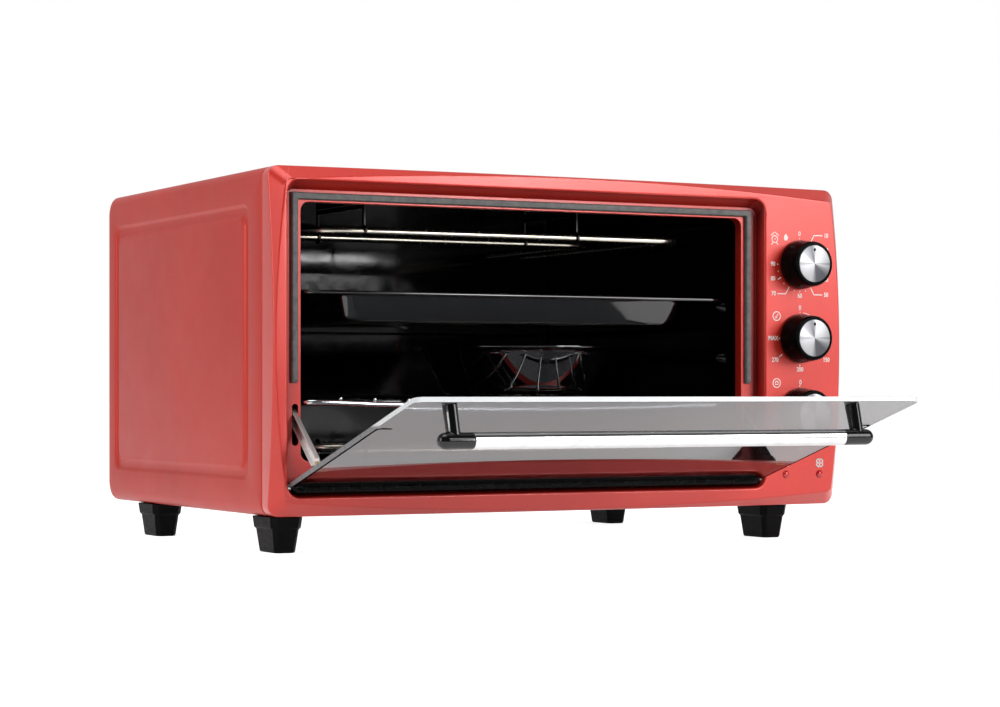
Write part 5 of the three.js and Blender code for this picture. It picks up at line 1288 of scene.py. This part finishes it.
def screw_head(x, z):
    foot = BODY_BACK + 0.02
    dome = [(0, 1.7), (1.2, 1.64), (2.1, 1.4), (2.8, 0.95), (3.25, 0.4), (3.4, 0), (0, 0)]
    head = turned("screw_head", [(radius, foot + height) for radius, height in dome], "y", (x, 0, z), 40)
    cross = [box_outline(x - along, z - up, x + along, z + up) for along, up in ((2.1, 0.42), (0.42, 2.1))]
    return carve(head, *[prism("cross", arm, "y", foot + 0.8, foot + 3) for arm in cross])


back_screws = merge("back_panel_screws", [screw_head(x, z) for x in (24, 190, 340, 496) for z in (28, 239)])
dress(soften(back_screws, angle=30), "cabinet", "steel", STEEL)


# Camera, floor and light

CAMERA_PLACE, CAMERA_HEADING = (-0.9902, -1.81957, 0.1222), -27.984
CAMERA_LENS, CAMERA_SHIFT = 89.845, 0.03946
FLOOR_HALF, FLOOR_SEEN, FLOOR_REFLECTED = 30, 0.8, 0.65
ROOM_LEVEL, BACKDROP_LEVEL, AMBIENT = 0.06, 0.6, 0.3


def camera():
    data = bpy.data.cameras.new("camera")
    data.sensor_width = 36
    data.lens = CAMERA_LENS
    data.shift_y = CAMERA_SHIFT
    data.clip_start = 0.01
    obj = new_object("camera", data)
    obj.location = CAMERA_PLACE
    obj.rotation_euler = (QUARTER, 0, math.radians(CAMERA_HEADING))
    bpy.context.scene.camera = obj


def floor():
    """A white floor that also glows, most to the camera and less to reflections; it lights nothing itself."""
    mesh = bpy.data.meshes.new("floor")
    corners = box_outline(-FLOOR_HALF, -FLOOR_HALF, FLOOR_HALF, FLOOR_HALF)
    mesh.from_pydata([(x, y, 0) for x, y in corners], [], [(0, 1, 2, 3)])
    material = bpy.data.materials.new("floor_white")
    material.use_nodes = True
    nodes = Nodes(material.node_tree)
    nodes.tree.nodes.clear()
    ray = nodes.add("LightPath").outputs
    mirror = nodes.math("MAXIMUM", ray["Is Glossy Ray"], ray["Is Transmission Ray"])
    reflected = nodes.math("MULTIPLY", mirror, FLOOR_REFLECTED)
    glow = nodes.add("Emission", {"Strength": nodes.either(ray["Is Camera Ray"], reflected, FLOOR_SEEN)})
    diffuse = nodes.add("BsdfDiffuse", {"Color": grey(0.8)})
    both = nodes.add("AddShader", {0: diffuse.outputs[0], 1: glow.outputs[0]})
    nodes.add("OutputMaterial", {"Surface": both.outputs[0]})
    mesh.materials.append(material)
    obj = new_object("floor", mesh)


def world():
    """White to the camera; glossy and clear surfaces see white behind the oven and a dim room before it."""
    studio = bpy.data.worlds.new("studio")
    bpy.context.scene.world = studio
    studio.use_nodes = True
    nodes = Nodes(studio.node_tree)
    depth = nodes.split(nodes.add("TexCoord").outputs["Generated"])["Y"]
    room = nodes.spread(depth, ROOM_LEVEL, BACKDROP_LEVEL, -0.35, 0.35, interpolation_type="SMOOTHSTEP")
    ray = nodes.add("LightPath").outputs
    seen = nodes.either(ray["Is Glossy Ray"], AMBIENT, room)
    white = nodes.math("MAXIMUM", ray["Is Camera Ray"], ray["Is Transmission Ray"])
    background = nodes.tree.nodes["Background"]
    background.inputs["Color"].default_value = grey(1)
    nodes.tree.links.new(nodes.either(white, seen, 1.0), background.inputs["Strength"])


def softbox(name, location, target, width, height, power):
    data = bpy.data.lights.new(name, "AREA")
    data.shape = "RECTANGLE"
    data.size, data.size_y = width, height
    data.energy = power
    obj = new_object(name, data)
    obj.location = location
    obj.rotation_euler = (Vector(target) - Vector(location)).to_track_quat("-Z", "Y").to_euler()


camera()
floor()
world()
for light in (("top_light", (-0.5, -0.3, 1.9), (0, 0, 0.15), 1.6, 1.2, 16),
              ("front_light", (1.4, -1.85, 1.0), (0.1, 0, 0.15), 1.2, 1.25, 29),
              ("front_spot", (0.85, -1.95, 0.5), (0, 0, 0.25), 0.3, 0.3, 5),
              ("left_light", (-2.2, -0.1, 0.9), (0, 0, 0.15), 0.25, 1.3, 14)):
    softbox(*light)

bpy.context.scene.view_settings.view_transform = "Standard"
